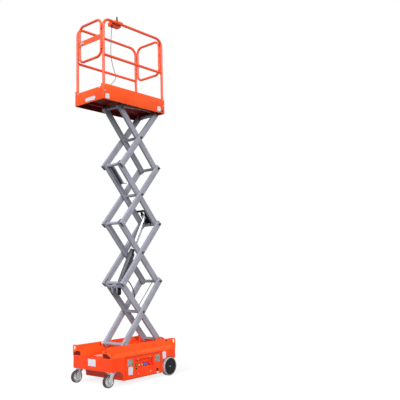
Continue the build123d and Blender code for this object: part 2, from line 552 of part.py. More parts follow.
# Control box hung inside the near top rail by a folded hook plate
rail_top = rail_z + RAIL_RADIUS
box_x0 = post_x0 + BOX_INSET
box_x1 = box_x0 + BOX_LENGTH
box_y0 = -post_y + RAIL_RADIUS + 3.0
box_y1 = box_y0 + BOX_WIDTH
box_z1 = rail_top + BOX_ABOVE_RAIL
box_z0 = box_z1 - BOX_HEIGHT
control = block(box_x0, box_x1, box_y0, box_y1, box_z0, box_z1)
control = chamfer(control.edges().filter_by(Axis.X).sort_by(Axis.Z)[-2:].sort_by(Axis.Y)[-1], 24.0)
lip_y = -post_y - RAIL_RADIUS - 4.3
control += block(box_x1 - HOOK_LENGTH, box_x1, lip_y, box_y0, rail_top + 0.3, rail_top + 4.3)
control += block(box_x1 - HOOK_LENGTH, box_x1, lip_y, lip_y + 4.0, rail_z - 12.0, rail_top + 4.3)
add("control_box", control)
stick_x, stick_y = box_x1 - 36.0, box_y0 + 40.0
joystick = Pos(stick_x, stick_y, box_z1 + 12.0) * Cone(22.0, 9.0, 24.0)
joystick += rod_z(stick_x, stick_y, box_z1 + 20.0, box_z1 + 76.0, 6.0)
joystick += Pos(stick_x, stick_y, box_z1 + 86.0) * Cone(8.0, 13.0, 28.0)
add("joystick", joystick)
stop2_x = box_x0 + 40.0
add("platform_stop", rod_z(stop2_x, stick_y, box_z1, box_z1 + 12.0, 11.0)
    + rod_z(stop2_x, stick_y, box_z1 + 12.0, box_z1 + 24.0, 19.0))
gland_x, gland_y = box_x0 + 31.0, box_y0 + 40.0
cable_top = box_z0 - 14.0
add("cable_gland", rod_z(gland_x, gland_y, cable_top, box_z0, 11.0))

# Control cable: hangs from the gland and comes back to a plug box on the floor by the near post
plug_x1, plug_top = gland_x - 130.0, floor_z + 92.0
add("cable_plug", block(plug_x1 - 60.0, plug_x1, gland_y - 40.0, gland_y - 12.0, floor_z, plug_top))
drop = plug_top - 23.0 - cable_top + 0.3
cable_run = [(0, 0, 0), (-7, -1, 0.087), (-18, -4, 0.203), (-26, -8, 0.319), (-28, -12, 0.432),
             (-20, -15, 0.535), (6, -17, 0.629), (42, -19, 0.715), (50, -21, 0.773), (22, -23, 0.826),
             (-28, -25, 0.882), (-82, -26, 0.942), (-126.3, -26, 1)]
cable_points = [(gland_x + x, gland_y + y, cable_top - 0.3 + drop * share) for x, y, share in cable_run]


def bend_radii(points):
    radii = []
    for a, b, c in zip(points, points[1:], points[2:]):
        u, v = Vector(b) - Vector(a), Vector(c) - Vector(b)
        radii.append(0.45 * min(u.length, v.length) / tan(radians(u.get_angle(v)) / 2))
    return radii


cable_radii = bend_radii(cable_points)
cable_path = FilletPolyline(*cable_points, radius=cable_radii)
cable_end = Plane(cable_path @ 0, z_dir=cable_path % 0) * Circle(CABLE_RADIUS)
add("control_cable", sweep(cable_end, path=cable_path))

os.makedirs("parts", exist_ok=True)
for name, pieces in nodes.items():
    shape = pieces[0] if len(pieces) == 1 else Compound(children=pieces)
    export_step(shape, f"parts/{name}.step")
print(len(nodes), "nodes, cable", round(cable_path.length, 1), "mm long")
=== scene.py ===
import json
import bmesh
import bpy
import numpy as np
from math import radians
from mathutils import Matrix, Vector


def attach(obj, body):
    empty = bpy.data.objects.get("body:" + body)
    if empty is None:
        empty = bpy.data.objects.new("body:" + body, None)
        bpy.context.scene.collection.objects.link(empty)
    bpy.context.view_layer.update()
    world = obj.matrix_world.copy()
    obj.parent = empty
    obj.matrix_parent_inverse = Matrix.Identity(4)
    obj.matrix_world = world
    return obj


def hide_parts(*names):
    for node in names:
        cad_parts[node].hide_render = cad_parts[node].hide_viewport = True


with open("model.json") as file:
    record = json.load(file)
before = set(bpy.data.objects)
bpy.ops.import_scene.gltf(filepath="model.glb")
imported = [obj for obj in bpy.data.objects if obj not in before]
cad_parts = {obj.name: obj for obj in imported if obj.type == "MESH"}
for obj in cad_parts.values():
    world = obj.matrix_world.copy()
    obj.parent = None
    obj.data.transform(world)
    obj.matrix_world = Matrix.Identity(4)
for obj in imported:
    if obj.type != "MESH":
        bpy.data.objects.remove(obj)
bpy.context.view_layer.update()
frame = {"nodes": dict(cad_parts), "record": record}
scene = bpy.context.scene
scene.view_settings.view_transform = "Standard"
bodyOf = {node: body for body, held in frame["record"]["behaviour"]["bodies"].items() for node in held}
print("frame loaded", len(frame["nodes"]), "nodes")

# Sizes shared by many pieces, in metres and degrees, as the solids have them
lift = {"leftX": -0.159717, "rightX": 0.522, "pivotZ": 0.478, "rise": 0.818222, "pitch": 1.065,
        "slope": 50.2, "outerY": 0.207, "innerY": 0.161, "armWidth": 0.040, "armHeight": 0.080,
        "armEnd": 0.036, "pin": 0.018, "noseX": -0.564, "tailX": 0.632, "sideY": 0.382, "deckZ": 0.352,
        "skirtZ": 3.740888, "floorZ": 3.820888, "leftEnd": -0.590, "rightEnd": 0.586, "platY": 0.300,
        "postX": (-0.560, 0.556), "postY": 0.2768, "railZ": 4.869888, "railR": 0.019, "midR": 0.0185,
        "loopR": 0.018}
xWay, yWay, zWay = np.eye(3)
stages = range(1, 5)
jointZ = [lift["pivotZ"] + k * lift["rise"] for k in range(5)]  # heights of the end joints, from the base up
crossX = (lift["leftX"] + lift["rightX"]) / 2  # where the two frames of a stage cross

# Camera, as the photograph was taken
shot = {"place": (-5.53690, -6.13799, 1.51336), "yaw": 49.6804, "pitch": 6.3276, "roll": -1.4107,
        "lens": 52.595}


def aimCamera(s):
    # the view line follows yaw and pitch, and the frame then rolls about that line
    yaw, pitch, roll = np.radians([s["yaw"], s["pitch"], s["roll"]])
    ahead = np.array([np.sin(yaw) * np.cos(pitch), np.cos(yaw) * np.cos(pitch), np.sin(pitch)])
    right = np.array([np.cos(yaw), -np.sin(yaw), 0.0])
    up = np.cross(right, ahead)
    right, up = right * np.cos(roll) + up * np.sin(roll), up * np.cos(roll) - right * np.sin(roll)
    data = bpy.data.cameras.new("shotCamera")
    data.sensor_width, data.lens = 36.0, s["lens"]
    data.clip_end = 200.0
    camera = bpy.data.objects.new("shotCamera", data)
    turn = np.eye(4)
    turn[:3, 0], turn[:3, 1], turn[:3, 2], turn[:3, 3] = right, up, -ahead, s["place"]
    camera.matrix_world = Matrix(turn.tolist())
    scene.collection.objects.link(camera)
    scene.camera = camera


aimCamera(shot)
print("camera placed")


# Materials
def hexLinear(code):
    # each sRGB channel, undone to linear light
    channel = np.array([int(code[i:i + 2], 16) for i in (1, 3, 5)]) / 255
    linear = np.where(channel <= 0.04045, channel / 12.92, ((channel + 0.055) / 1.055) ** 2.4)
    return (*[float(v) for v in linear], 1.0)


def addNode(tree, kind, values=None, links=None, **settings):
    # one node with its settings, input values and incoming links
    node = tree.nodes.new(kind)
    for key, value in settings.items():
        setattr(node, key, value)
    for key, value in (values or {}).items():
        node.inputs[key].default_value = value
    for key, source in (links or {}).items():
        tree.links.new(source, node.inputs[key])
    return node


pattern = {"hazeMm": 60, "span": (0.3, 0.7), "detail": 2.0, "grainDetail": 3.0, "grainDepth": 0.25}


def surface(name, s):
    # colour drifts slowly between two shades, roughness drifts with a second
    # noise and a fine grain lifts the normal; spangle breaks the colour into
    # crystals, ring draws lathe lines along the piece's own length
    material = bpy.data.materials.new(name)
    material.use_nodes = True
    tree = material.node_tree
    shader = tree.nodes["Principled BSDF"]
    place = addNode(tree, "ShaderNodeTexCoord").outputs["Object"]
    soft = {"Detail": pattern["detail"]}
    if "spangleMm" in s:
        cells = addNode(tree, "ShaderNodeTexVoronoi", {"Scale": 1000 / s["spangleMm"]}, {"Vector": place})
        drift = cells.outputs["Color"]
    elif "ringMm" in s:
        along = addNode(tree, "ShaderNodeAttribute", attribute_name="along").outputs["Fac"]
        spot = addNode(tree, "ShaderNodeCombineXYZ", None, {"X": along}).outputs["Vector"]
        rings = addNode(tree, "ShaderNodeTexNoise", {"Scale": 1000 / s["ringMm"], **soft}, {"Vector": spot})
        drift = rings.outputs["Fac"]
    else:
        clouds = addNode(tree, "ShaderNodeTexNoise", {"Scale": 1000 / s["driftMm"], **soft},
                         {"Vector": place})
        drift = clouds.outputs["Fac"]
    ramp = addNode(tree, "ShaderNodeValToRGB", None, {"Fac": drift})
    shades = zip(ramp.color_ramp.elements, s.get("span", pattern["span"]), (s["low"], s["high"]))
    for stop, position, code in shades:
        stop.position = position
        stop.color = hexLinear(code)
    tree.links.new(ramp.outputs["Color"], shader.inputs["Base Color"])
    haze = addNode(tree, "ShaderNodeTexNoise", {"Scale": 1000 / pattern["hazeMm"], **soft}, {"Vector": place})
    spread = dict(zip(("From Min", "From Max", "To Min", "To Max"), (*pattern["span"], *s["rough"])))
    rough = addNode(tree, "ShaderNodeMapRange", spread, {"Value": haze.outputs["Fac"]})
    tree.links.new(rough.outputs["Result"], shader.inputs["Roughness"])
    if "grain" in s:
        fine = {"Scale": 1000 / s["grainMm"], "Detail": pattern["grainDetail"]}
        grain = addNode(tree, "ShaderNodeTexNoise", fine, {"Vector": place})
        depth = {"Strength": s["grain"], "Distance": pattern["grainDepth"] * s["grainMm"] / 1000}
        bump = addNode(tree, "ShaderNodeBump", depth, {"Height": grain.outputs["Fac"]})
        tree.links.new(bump.outputs["Normal"], shader.inputs["Normal"])
    for socket, value in s.get("sockets", {}).items():
        shader.inputs[socket].default_value = value
    return material


finishes = {
    # sprayed and oven-cured polyester on steel sheet: a bright
    # even coat with a faint orange-peel wave, drawn coarse to show
    "orangePowderCoat": {"low": "#EE3A0A", "high": "#F8440E", "driftMm": 260, "rough": (0.34, 0.46),
                         "grainMm": 7, "grain": 0.05, "sockets": {"IOR": 1.46, "Specular IOR Level": 0.3}},
    # the same coat a shade yellower on the platform's sheet; on the side beams this lighter shade is painted
    # light
    "orangeTrayCoat": {"low": "#F4501A", "high": "#FB5C20", "driftMm": 300, "rough": (0.34, 0.46),
                       "grainMm": 7, "grain": 0.05, "sockets": {"IOR": 1.46, "Specular IOR Level": 0.3}},
    # the same coat on drawn tube: a touch glossier, with no sheet waviness
    "orangeTubeCoat": {"low": "#F24C1A", "high": "#FA5822", "driftMm": 180, "rough": (0.26, 0.36),
                       "grainMm": 6, "grain": 0.04, "sockets": {"IOR": 1.5}},
    # the deck sheet under clear lacquer: wet gloss that mirrors the surroundings at a low angle
    "orangeDeckLacquer": {"low": "#EA3A0C", "high": "#F4420F", "driftMm": 200, "rough": (0.10, 0.18),
                          "grainMm": 9, "grain": 0.03,
                          "sockets": {"IOR": 1.5, "Coat Weight": 0.4, "Coat Roughness": 0.06}},
    # dark red, dull and streaky, for the platform's underside, tracks and beam ends: painted shade
    "darkRedPaintedShade": {"low": "#6A140E", "high": "#841D14", "driftMm": 90, "rough": (0.6, 0.8),
                       "grainMm": 5, "grain": 0.1, "sockets": {"IOR": 1.45, "Specular IOR Level": 0.2}},
    # satin polyester coat on rolled section: cool grey, with
    # slight chalky drift where hands and grease have been
    "greySatinCoat": {"low": "#8C8D98", "high": "#999AA5", "driftMm": 220, "rough": (0.36, 0.46),
                      "grainMm": 9, "grain": 0.02, "sockets": {"IOR": 1.5, "Specular IOR Level": 0.4}},
    # the grey coat darkened to graphite on the ram barrel and the prop's web: painted shade, semi-gloss
    "graphitePaintedShade": {"low": "#3A3B44", "high": "#4A4B55", "driftMm": 120, "rough": (0.28, 0.4),
                          "grainMm": 5, "grain": 0.04, "sockets": {"IOR": 1.5, "Specular IOR Level": 0.35}},
    # oil-blackened and greased pin steel: dark brown-black, half shiny
    "blackenedPinSteel": {"low": "#4A3C38", "high": "#6A5A55", "driftMm": 14, "rough": (0.34, 0.52),
                          "sockets": {"Metallic": 0.6}},
    # brushed-on satin alkyd: near black, uneven sheen
    "blackSatinPaint": {"low": "#121214", "high": "#1C1B1D", "driftMm": 90, "rough": (0.42, 0.6),
                        "grainMm": 4, "grain": 0.06, "sockets": {"IOR": 1.5, "Specular IOR Level": 0.15}},
    # hard chrome, satin ground: soft mirror with faint bands along its length
    "hardChromedSteel": {"low": "#BCC0C7", "high": "#D0D4D9", "ringMm": 30, "rough": (0.3, 0.36),
                         "sockets": {"Metallic": 1.0}},
    # electro-zinc on pressed steel: pale, broken into small crystals
    "zincPlatedSteel": {"low": "#A6A8AC", "high": "#CED0D2", "spangleMm": 9, "rough": (0.28, 0.45),
                        "span": (0.0, 1.0), "sockets": {"Metallic": 0.9}},
    # moulded non-marking rubber: pale grey, chalky, scuffed darker
    "greySolidRubber": {"low": "#8E8F90", "high": "#A4A5A5", "driftMm": 35, "rough": (0.7, 0.9),
                        "grainMm": 3, "grain": 0.2, "sockets": {"IOR": 1.52}},
    # cast polyurethane tread: deep maroon, slightly waxy
    "maroonPolyurethane": {"low": "#2A1616", "high": "#3A2020", "driftMm": 25, "rough": (0.42, 0.6),
                           "grainMm": 3, "grain": 0.1, "sockets": {"IOR": 1.5}},
    # turned nylon: cream, soft lathe rings
    "turnedNylon": {"low": "#D9CDB4", "high": "#EDE4D0", "ringMm": 4, "rough": (0.45, 0.6),
                    "sockets": {"IOR": 1.53}},
    # the same nylon in a darker grey, on the near rollers
    "darkGreyNylon": {"low": "#5E5E66", "high": "#76767E", "ringMm": 4, "rough": (0.5, 0.66),
                      "sockets": {"IOR": 1.53}},
    # moulded black polypropylene: fine spark-eroded grain
    "blackMouldedPolymer": {"low": "#0E0E10", "high": "#171719", "driftMm": 40, "rough": (0.5, 0.66),
                            "grainMm": 2.5, "grain": 0.25,
                            "sockets": {"IOR": 1.49, "Specular IOR Level": 0.3}},
    # moulded and polished buttons: clean gloss, one even colour each
    "redGlossPolymer": {"low": "#DE0F1E", "high": "#EC1828", "driftMm": 30, "rough": (0.22, 0.34),
                        "grainMm": 4, "grain": 0.02, "sockets": {"IOR": 1.49, "Specular IOR Level": 0.35}},
    "greenGlossPolymer": {"low": "#2C7A3C", "high": "#38904A", "driftMm": 20, "rough": (0.18, 0.3),
                          "sockets": {"IOR": 1.49}},
    "yellowGlossPolymer": {"low": "#E2B21A", "high": "#F0C42C", "driftMm": 20, "rough": (0.18, 0.3),
                           "sockets": {"IOR": 1.49}},
    "greyGlossPolymer": {"low": "#9C9EA2", "high": "#B0B2B6", "driftMm": 20, "rough": (0.2, 0.32),
                         "sockets": {"IOR": 1.49}},
    # display window of cast tinted acrylic: deep blue and glassy
    "blueTintedAcrylic": {"low": "#2E3E9C", "high": "#4458C4", "driftMm": 60, "rough": (0.08, 0.16),
                          "sockets": {"IOR": 1.49, "Coat Weight": 0.5}},
    # extruded PVC sheath: matt grey
    "greyPvcSheath": {"low": "#5E6064", "high": "#6E7074", "driftMm": 60, "rough": (0.5, 0.66),
                      "grainMm": 3, "grain": 0.1, "sockets": {"IOR": 1.53}},
    # pale pink PVC on the conduit, lifted brighter as painted light for the shade it hangs in, and on the
    # deck patch as a painted highlight: dull
    "palePinkPaintedLight": {"low": "#CE9E94", "high": "#E2B8AE", "driftMm": 60, "rough": (0.45, 0.6),
                       "sockets": {"IOR": 1.53}},
    # extruded black nitrile over wire braid: matt, slightly ribbed to the eye
    "blackNitrileHose": {"low": "#0E0E0F", "high": "#1A1A1B", "driftMm": 30, "rough": (0.5, 0.68),
                         "grainMm": 4, "grain": 0.3, "sockets": {"IOR": 1.52}},
    # plain printed-blank vinyl plates, squeegeed on: even and slightly satin
    "whiteSatinVinyl": {"low": "#C9CCD4", "high": "#D9DCE2", "driftMm": 50, "rough": (0.32, 0.44),
                        "sockets": {"IOR": 1.5}},
    "greySatinVinyl": {"low": "#5E5A54", "high": "#A6A49C", "driftMm": 40, "rough": (0.3, 0.45),
                       "sockets": {"IOR": 1.5}},
    # rough-cast and dipped iron of the power pack: near black, pitted
    "dippedCastIron": {"low": "#141414", "high": "#222222", "driftMm": 50, "rough": (0.6, 0.8),
                       "grainMm": 6, "grain": 0.3, "sockets": {"IOR": 1.5}},
}
look = {name: surface(name, s) for name, s in finishes.items()}
print("materials made", len(look))


# Surfaces
def gridFaces(rows, cols, ringRows=False, ringCols=False):
    # one quad for each neighbouring pair of rows and columns, wrapping where the grid is closed
    i = np.arange(rows if ringRows else rows - 1)[:, None]
    j = np.arange(cols if ringCols else cols - 1)[None, :]
    i2, j2 = (i + 1) % rows, (j + 1) % cols
    return np.stack([i * cols + j, i2 * cols + j, i2 * cols + j2, i * cols + j2], -1).reshape(-1, 4).tolist()


def unit(v):
    # each vector divided by its length
    return v / np.linalg.norm(v, axis=-1, keepdims=True)


def circle(radius, sides=20):
    # even steps round a circle about the origin
    turn = np.linspace(0, 2 * np.pi, sides, endpoint=False)
    return radius * np.c_[np.cos(turn), np.sin(turn)]


def roundedPath(corners, radius, steps=8, ring=False):
    # every corner becomes an arc that touches both its runs: centre on
    # the bisector, points by turning one contact radius into the other
    c = np.asarray(corners, float)
    before, after = np.roll(c, 1, 0), np.roll(c, -1, 0)
    bent = c if ring else c[1:-1]
    u, v = unit(before - c), unit(after - c)
    u, v = (u, v) if ring else (u[1:-1], v[1:-1])
    angle = np.arccos(np.clip((u * v).sum(1), -1, 1))
    size = np.broadcast_to(radius, angle.shape)
    centre = bent + unit(u + v) * (size / np.sin(angle / 2))[:, None]
    reach = (size / np.tan(angle / 2))[:, None]
    a, b = bent + u * reach - centre, bent + v * reach - centre
    sweepAngle = (np.pi - angle)[:, None, None]
    t = np.linspace(0, 1, steps + 1)[None, :, None]
    blend = np.sin((1 - t) * sweepAngle) * a[:, None] + np.sin(t * sweepAngle) * b[:, None]
    arcs = centre[:, None] + blend / np.sin(sweepAngle)
    arcs = arcs.reshape(-1, c.shape[1])
    return arcs if ring else np.vstack([c[:1], arcs, c[-1:]])


def swept(path, profile, normal, ring=False):
    # a closed profile (a, b) carried along a flat path: a lies
    # across the path in its plane, b along the plane's normal
    path, normal = np.asarray(path, float), np.asarray(normal, float)
    ahead = np.roll(path, -1, 0) - np.roll(path, 1, 0) if ring else np.gradient(path, axis=0)
    across = unit(np.cross(normal, unit(ahead)))
    points = path[:, None] + profile[None, :, :1] * across[:, None] + profile[None, :, 1:] * normal
    rows, cols = points.shape[:2]
    faces = gridFaces(rows, cols, ring, True)
    if not ring:
        faces += [list(range(cols)), list(range((rows - 1) * cols, rows * cols))]
    return points.reshape(-1, 3), faces


def basis(axis):
    # two directions square to the axis
    axis = unit(np.asarray(axis, float))
    aside = zWay if abs(axis[2]) < 0.9 else xWay
    u = unit(np.cross(aside, axis))
    return axis, u, np.cross(axis, u)


def turned(profile, origin, axis, sides=48):
    # (along, radius) pairs spun about the axis; a closed profile gives a ring
    axis, u, v = basis(axis)
    p = np.asarray(profile, float)
    spin = np.linspace(0, 2 * np.pi, sides, endpoint=False)
    wheel = np.cos(spin)[:, None] * u + np.sin(spin)[:, None] * v
    points = np.asarray(origin) + p[:, None, :1] * axis + p[:, None, 1:] * wheel[None]
    return points.reshape(-1, 3), gridFaces(len(p), sides, bool(np.allclose(p[0], p[-1])), True)


def tubeProfile(half, bore, radius, edge=0.001):
    # closed (along, radius) ring of a short tube with its outer edges eased
    return [(-half, bore), (-half, radius - edge), (-half + edge, radius), (half - edge, radius),
            (half, radius - edge), (half, bore), (-half, bore)]


def bandProfile(half, bore, radius):
    # closed (along, radius) ring of a plain band
    return [(-half, bore), (-half, radius), (half, radius), (half, bore), (-half, bore)]


def plate(outline, origin, u, v, thick, edge=0.0008):
    # an outline in the u, v plane raised along u x v through
    # four rings; the end rings shrink by the edge for a soft rim
    o, u, v = np.asarray(outline, float), np.asarray(u, float), np.asarray(v, float)
    ahead, behind = unit(np.roll(o, -1, 0) - o), unit(o - np.roll(o, 1, 0))
    left = np.c_[-(ahead + behind)[:, 1], (ahead + behind)[:, 0]]
    inward = unit(left) / np.clip((unit(left) * np.c_[-ahead[:, 1], ahead[:, 0]]).sum(1), 0.3, 1)[:, None]
    rings = np.array([[edge, 0], [0, edge], [0, thick - edge], [edge, thick]])
    flat = o[None] + inward[None] * rings[:, None, :1]
    points = np.asarray(origin) + flat[..., :1] * u + flat[..., 1:] * v + rings[:, None, 1:] * np.cross(u, v)
    n = len(o)
    return points.reshape(-1, 3), gridFaces(4, n, False, True) + [list(range(n)), list(range(3 * n, 4 * n))]


def roundedBox(width, height, radius, steps=5):
    # outline of a rectangle with round corners about the origin, counter-clockwise
    w, h = width / 2, height / 2
    return roundedPath([(-w, -h), (w, -h), (w, h), (-w, h)], radius, steps, True)


def copies(part, places):
    # the same shape shifted to each place
    points, faces = part
    places = np.atleast_2d(places)
    every = (places[:, None] + points[None]).reshape(-1, 3)
    return every, [[i + k * len(points) for i in face] for k in range(len(places)) for face in faces]


def mirrorY(part):
    # the same shape on the other side of the middle plane
    return part[0] * np.array([1, -1, 1.0]), part[1]


def bothSides(parts):
    # near and far copies of every part
    return parts + [mirrorY(p) for p in parts]


def joined(parts):
    # points stacked, and each part's faces shifted past the points before it
    start = np.cumsum([0] + [len(p) for p, f in parts])
    faces = [[i + s for i in face] for s, (p, f) in zip(start, parts) for face in f]
    return np.vstack([p for p, f in parts]), faces


def hexBolt(axis, size):
    # washer and six-sided head with a domed top, spun about
    # the bolt's axis; all sizes are shares of the thread
    washer = np.array([(0, 0), (0, 1.1), (0.18, 1.15), (0.2, 1.05), (0.2, 0)])
    head = np.array([(0.2, 0), (0.2, 0.86), (0.74, 0.86), (0.84, 0.7), (0.84, 0)])
    return joined([turned(size * washer, (0, 0, 0), axis, 20), turned(size * head, (0, 0, 0), axis, 6)])


def makePiece(name, parts, body, finish, replaced=(), sharp=32, along=None):
    # all parts in one mesh, doubles merged, faces turned outwards, smooth up to the sharp angle
    points, faces = joined(parts)
    mesh = bpy.data.meshes.new(name)
    mesh.from_pydata(points.tolist(), [], faces)
    work = bmesh.new()
    work.from_mesh(mesh)
    bmesh.ops.remove_doubles(work, verts=work.verts, dist=2e-6)
    bmesh.ops.recalc_face_normals(work, faces=work.faces)
    work.to_mesh(mesh)
    work.free()
    if along is not None:
        spots = np.empty(len(mesh.vertices) * 3)
        mesh.vertices.foreach_get("co", spots)
        lengthwise = spots.reshape(-1, 3) @ unit(np.asarray(along, float))
        values = mesh.attributes.new("along", "FLOAT", "POINT").data
        values.foreach_set("value", lengthwise.astype(np.float32))
    return dress(name, mesh, body, finish, replaced, sharp)


def dress(name, mesh, body, finish, replaced, sharp):
    # shading, finish and object, then the body it rides and the solids it stands for
    mesh.shade_smooth()
    mesh.set_sharp_from_angle(angle=radians(sharp))
    mesh.materials.clear()
    mesh.materials.append(look[finish])
    piece = bpy.data.objects.new(name, mesh)
    scene.collection.objects.link(piece)
    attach(piece, body)
    if replaced:
        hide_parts(*replaced)
    return piece


def softened(node, finish, width=0.0018):
    # the solid's own mesh, merged and freed of its flat joins, with a narrow round on every sharp edge
    mesh = frame["nodes"][node].data.copy()
    work = bmesh.new()
    work.from_mesh(mesh)
    bmesh.ops.remove_doubles(work, verts=work.verts, dist=2e-5)
    bmesh.ops.dissolve_limit(work, angle_limit=radians(0.5), verts=work.verts, edges=work.edges)
    work.to_mesh(mesh)
    work.free()
    for spare in [a.name for a in mesh.attributes if a.name.startswith("custom_normal")]:
        mesh.attributes.remove(mesh.attributes[spare])
    piece = dress(node + "Soft", mesh, bodyOf[node], finish, [node], 32)
    bevel = piece.modifiers.new("edgeRound", "BEVEL")
    bevel.width, bevel.segments, bevel.limit_method, bevel.angle_limit = width, 2, "ANGLE", radians(40)
    bevel.use_clamp_overlap, bevel.harden_normals = True, True
    return piece


# Control cable, hanging from the box to the plug on the floor
cable = {"route": [(-0.3570, -0.2148, 4.8186), (-0.3640, -0.2158, 4.7378), (-0.3750, -0.2188, 4.6301),
                   (-0.3830, -0.2228, 4.5223), (-0.3850, -0.2268, 4.4174), (-0.3770, -0.2298, 4.3217),
                   (-0.3510, -0.2318, 4.2344), (-0.3150, -0.2338, 4.1546), (-0.3070, -0.2358, 4.1007),
                   (-0.3350, -0.2378, 4.0515), (-0.3850, -0.2398, 3.9995), (-0.4390, -0.2408, 3.9438),
                   (-0.4833, -0.2408, 3.8899)], "diameter": 0.009, "length": 1.0}


def hangCable(s):
    # one smooth spline with the route as its control points
    curve = bpy.data.curves.new("controlCable", "CURVE")
    curve.dimensions, curve.bevel_depth = "3D", s["diameter"] / 2
    curve.bevel_resolution, curve.resolution_u = 5, 10
    curve.use_fill_caps = True
    spline = curve.splines.new("NURBS")
    spline.points.add(len(s["route"]) - 1)
    spline.points.foreach_set("co", np.c_[s["route"], np.ones(len(s["route"]))].ravel())
    spline.order_u = 3
    spline.use_endpoint_u = True
    curve.materials.append(look["greyPvcSheath"])
    piece = bpy.data.objects.new("controlCable", curve)
    scene.collection.objects.link(piece)
    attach(piece, "platform")
    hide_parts("control_cable")
    return piece


cablePiece = hangCable(cable)
gland = {"at": (-0.357, -0.2148, 4.832888),
         "profile": [(0, 0), (0, 0.0125), (0.006, 0.0125), (0.0065, 0.0105), (0.009, 0.0105),
                     (0.0095, 0.0085), (0.022, 0.0066), (0.036, 0.0052), (0.036, 0)]}
glandTurned = turned(gland["profile"], gland["at"], -zWay, 24)
glandPiece = makePiece("cableGland", [glandTurned], "platform", "blackMouldedPolymer", ["cable_gland"])
plugPiece = softened("cable_plug", "blackMouldedPolymer", 0.003)
print("cable hung")


# Scissor arms: rolled rectangular section with round corners,
# open at both ends, and a welded sleeve round each pin
arms = {"wall": 0.004, "corner": 0.007, "rim": 0.0008, "sleeve": 0.027, "weld": 0.0035, "slack": 0.0004,
        "ease": 0.001, "plugIn": 0.0055, "plug": 0.003}


def armLine(start, rising, yOut):
    # middle of the arm's left pin, the way along the slope and the way square to it
    slope = radians(lift["slope"]) * (1 if rising else -1)
    ahead = np.array([np.cos(slope), 0, np.sin(slope)])
    over = np.array([-np.sin(slope), 0, np.cos(slope)])
    return np.array([lift["leftX"], yOut - lift["armWidth"] / 2, start]), ahead, over


def armSection(s, inset, slack=0.0):
    # outline of the section drawn in by the inset, its corners tightening with it
    wide, tall = lift["armWidth"] - 2 * inset - slack, lift["armHeight"] - 2 * inset - slack
    return roundedBox(wide, tall, s["corner"] - inset * 0.7, 4)


def armPair(s, start, rising, yOut):
    # the section ring goes out along the outside, turns at the far end and comes back along the inside
    middle, ahead, over = armLine(start, rising, yOut)
    outer, rim, inner = [armSection(s, inset) for inset in (0, s["rim"], s["wall"])]
    first, last = -lift["armEnd"], lift["pitch"] + lift["armEnd"]
    rows = [(first, rim), (first + s["rim"], outer), (last - s["rim"], outer), (last, rim), (last, inner),
            (first, inner)]
    grid = np.array([middle + d * ahead + ring[:, :1] * yWay + ring[:, 1:] * over for d, ring in rows])
    tube = grid.reshape(-1, 3), gridFaces(len(rows), len(outer), True, True)
    half, bore = lift["armWidth"] / 2, lift["pin"] + s["slack"]
    end, rib, bead = half + s["slack"], s["sleeve"] - s["ease"], s["sleeve"] + s["weld"]
    sleeve = [(-end, bore), (-end, rib), (-half, bead), (half, bead), (end, rib), (end, bore), (-end, bore)]
    pins = [middle + d * ahead for d in (0, lift["pitch"] / 2, lift["pitch"])]
    return [tube, copies(turned(sleeve, (0, 0, 0), yWay, 32), pins)]


def endShadePlugs(s, start, rising, yOut):
    # a dark plug just inside each open end, following the inside of the section: painted shade in the open
    # tube
    middle, ahead, over = armLine(start, rising, yOut)
    outline = armSection(s, s["wall"], s["slack"])
    spots = (-lift["armEnd"] + s["plugIn"], lift["pitch"] + lift["armEnd"] - s["plugIn"])
    return [plate(outline, middle + d * ahead, yWay, over, s["plug"]) for d in spots]


for stage in stages:
    frames = {"outer": (jointZ[stage - 1], True, lift["outerY"]),
              "inner": (jointZ[stage], False, lift["innerY"])}
    for side, line in frames.items():
        # the dark plugs in the open arm ends are painted shade
        plugs = bothSides(endShadePlugs(arms, *line))
        makePiece(f"{side}ShadePlugs{stage}", plugs, bodyOf[f"{side}_arms_{stage}"], "blackMouldedPolymer")
    for side, line in frames.items():
        node = f"{side}_arms_{stage}"
        pair = bothSides(armPair(arms, *line))
        makePiece(f"{side}Arms{stage}", pair, bodyOf[node], "greySatinCoat", [node])
print("arms made")

# Cross shafts: ground bar with thrust collars, headed ends and a cross tube slipped over the middle
shafts = {"tip": lift["outerY"] + 0.005, "head": 0.024, "collar": 0.026, "tube": 0.0215,
          "tubeEnd": lift["innerY"] - 0.0405, "stubIn": 0.0055, "collarAt": (0.0003, 0.0055), "ease": 0.001,
          "headGap": 0.0005, "chamfer": 0.0015, "shortTip": lift["outerY"] - 0.003, "wideTube": 0.0225,
          "rollerReach": 0.030, "slideTube": lift["outerY"] - 0.041}


def crossShaft(s, x, z, tip, stub=False):
    # half profile from the centre out, mirrored: cross tube, collar between the frames, then a head or a
    # chamfer; stub shafts are two, and end inside the inner frame
    pin, collar, ease = lift["pin"], s["collar"], s["ease"]
    start = s["tubeEnd"] - s["stubIn"] if stub else s["tubeEnd"]
    near, far = [lift["innerY"] + d for d in s["collarAt"]]
    half = [(start, 0 if stub else s["tube"]), (start, pin), (near, pin), (near, collar - ease),
            (near + ease, collar), (far - ease, collar), (far, collar - ease), (far, pin)]
    if tip > lift["outerY"]:
        face = lift["outerY"] + s["headGap"]
        half += [(face, pin), (face, s["head"]), (tip - 0.0012, s["head"]), (tip, s["head"] - 0.0014),
                 (tip, 0)]
    else:
        half += [(tip - s["chamfer"], pin), (tip, pin - s["chamfer"]), (tip, 0)]
    half = np.array(half)
    if stub:
        return bothSides([turned(half, (x, 0, z), yWay, 36)])
    return [turned(np.vstack([half[::-1] * [-1, 1], half]), (x, 0, z), yWay, 36)]


def tubedBar(s, tip, tubeEnd, z):
    # plain bar with chamfered tips and a wider tube over its middle, at the left-hand end of a frame
    pin, chamfer = lift["pin"], s["chamfer"]
    half = np.array([(tubeEnd, s["wideTube"]), (tubeEnd, pin), (tip - chamfer, pin), (tip, pin - chamfer),
                     (tip, 0)])
    return turned(np.vstack([half[::-1] * [-1, 1], half]), (lift["leftX"], 0, z), yWay, 36)


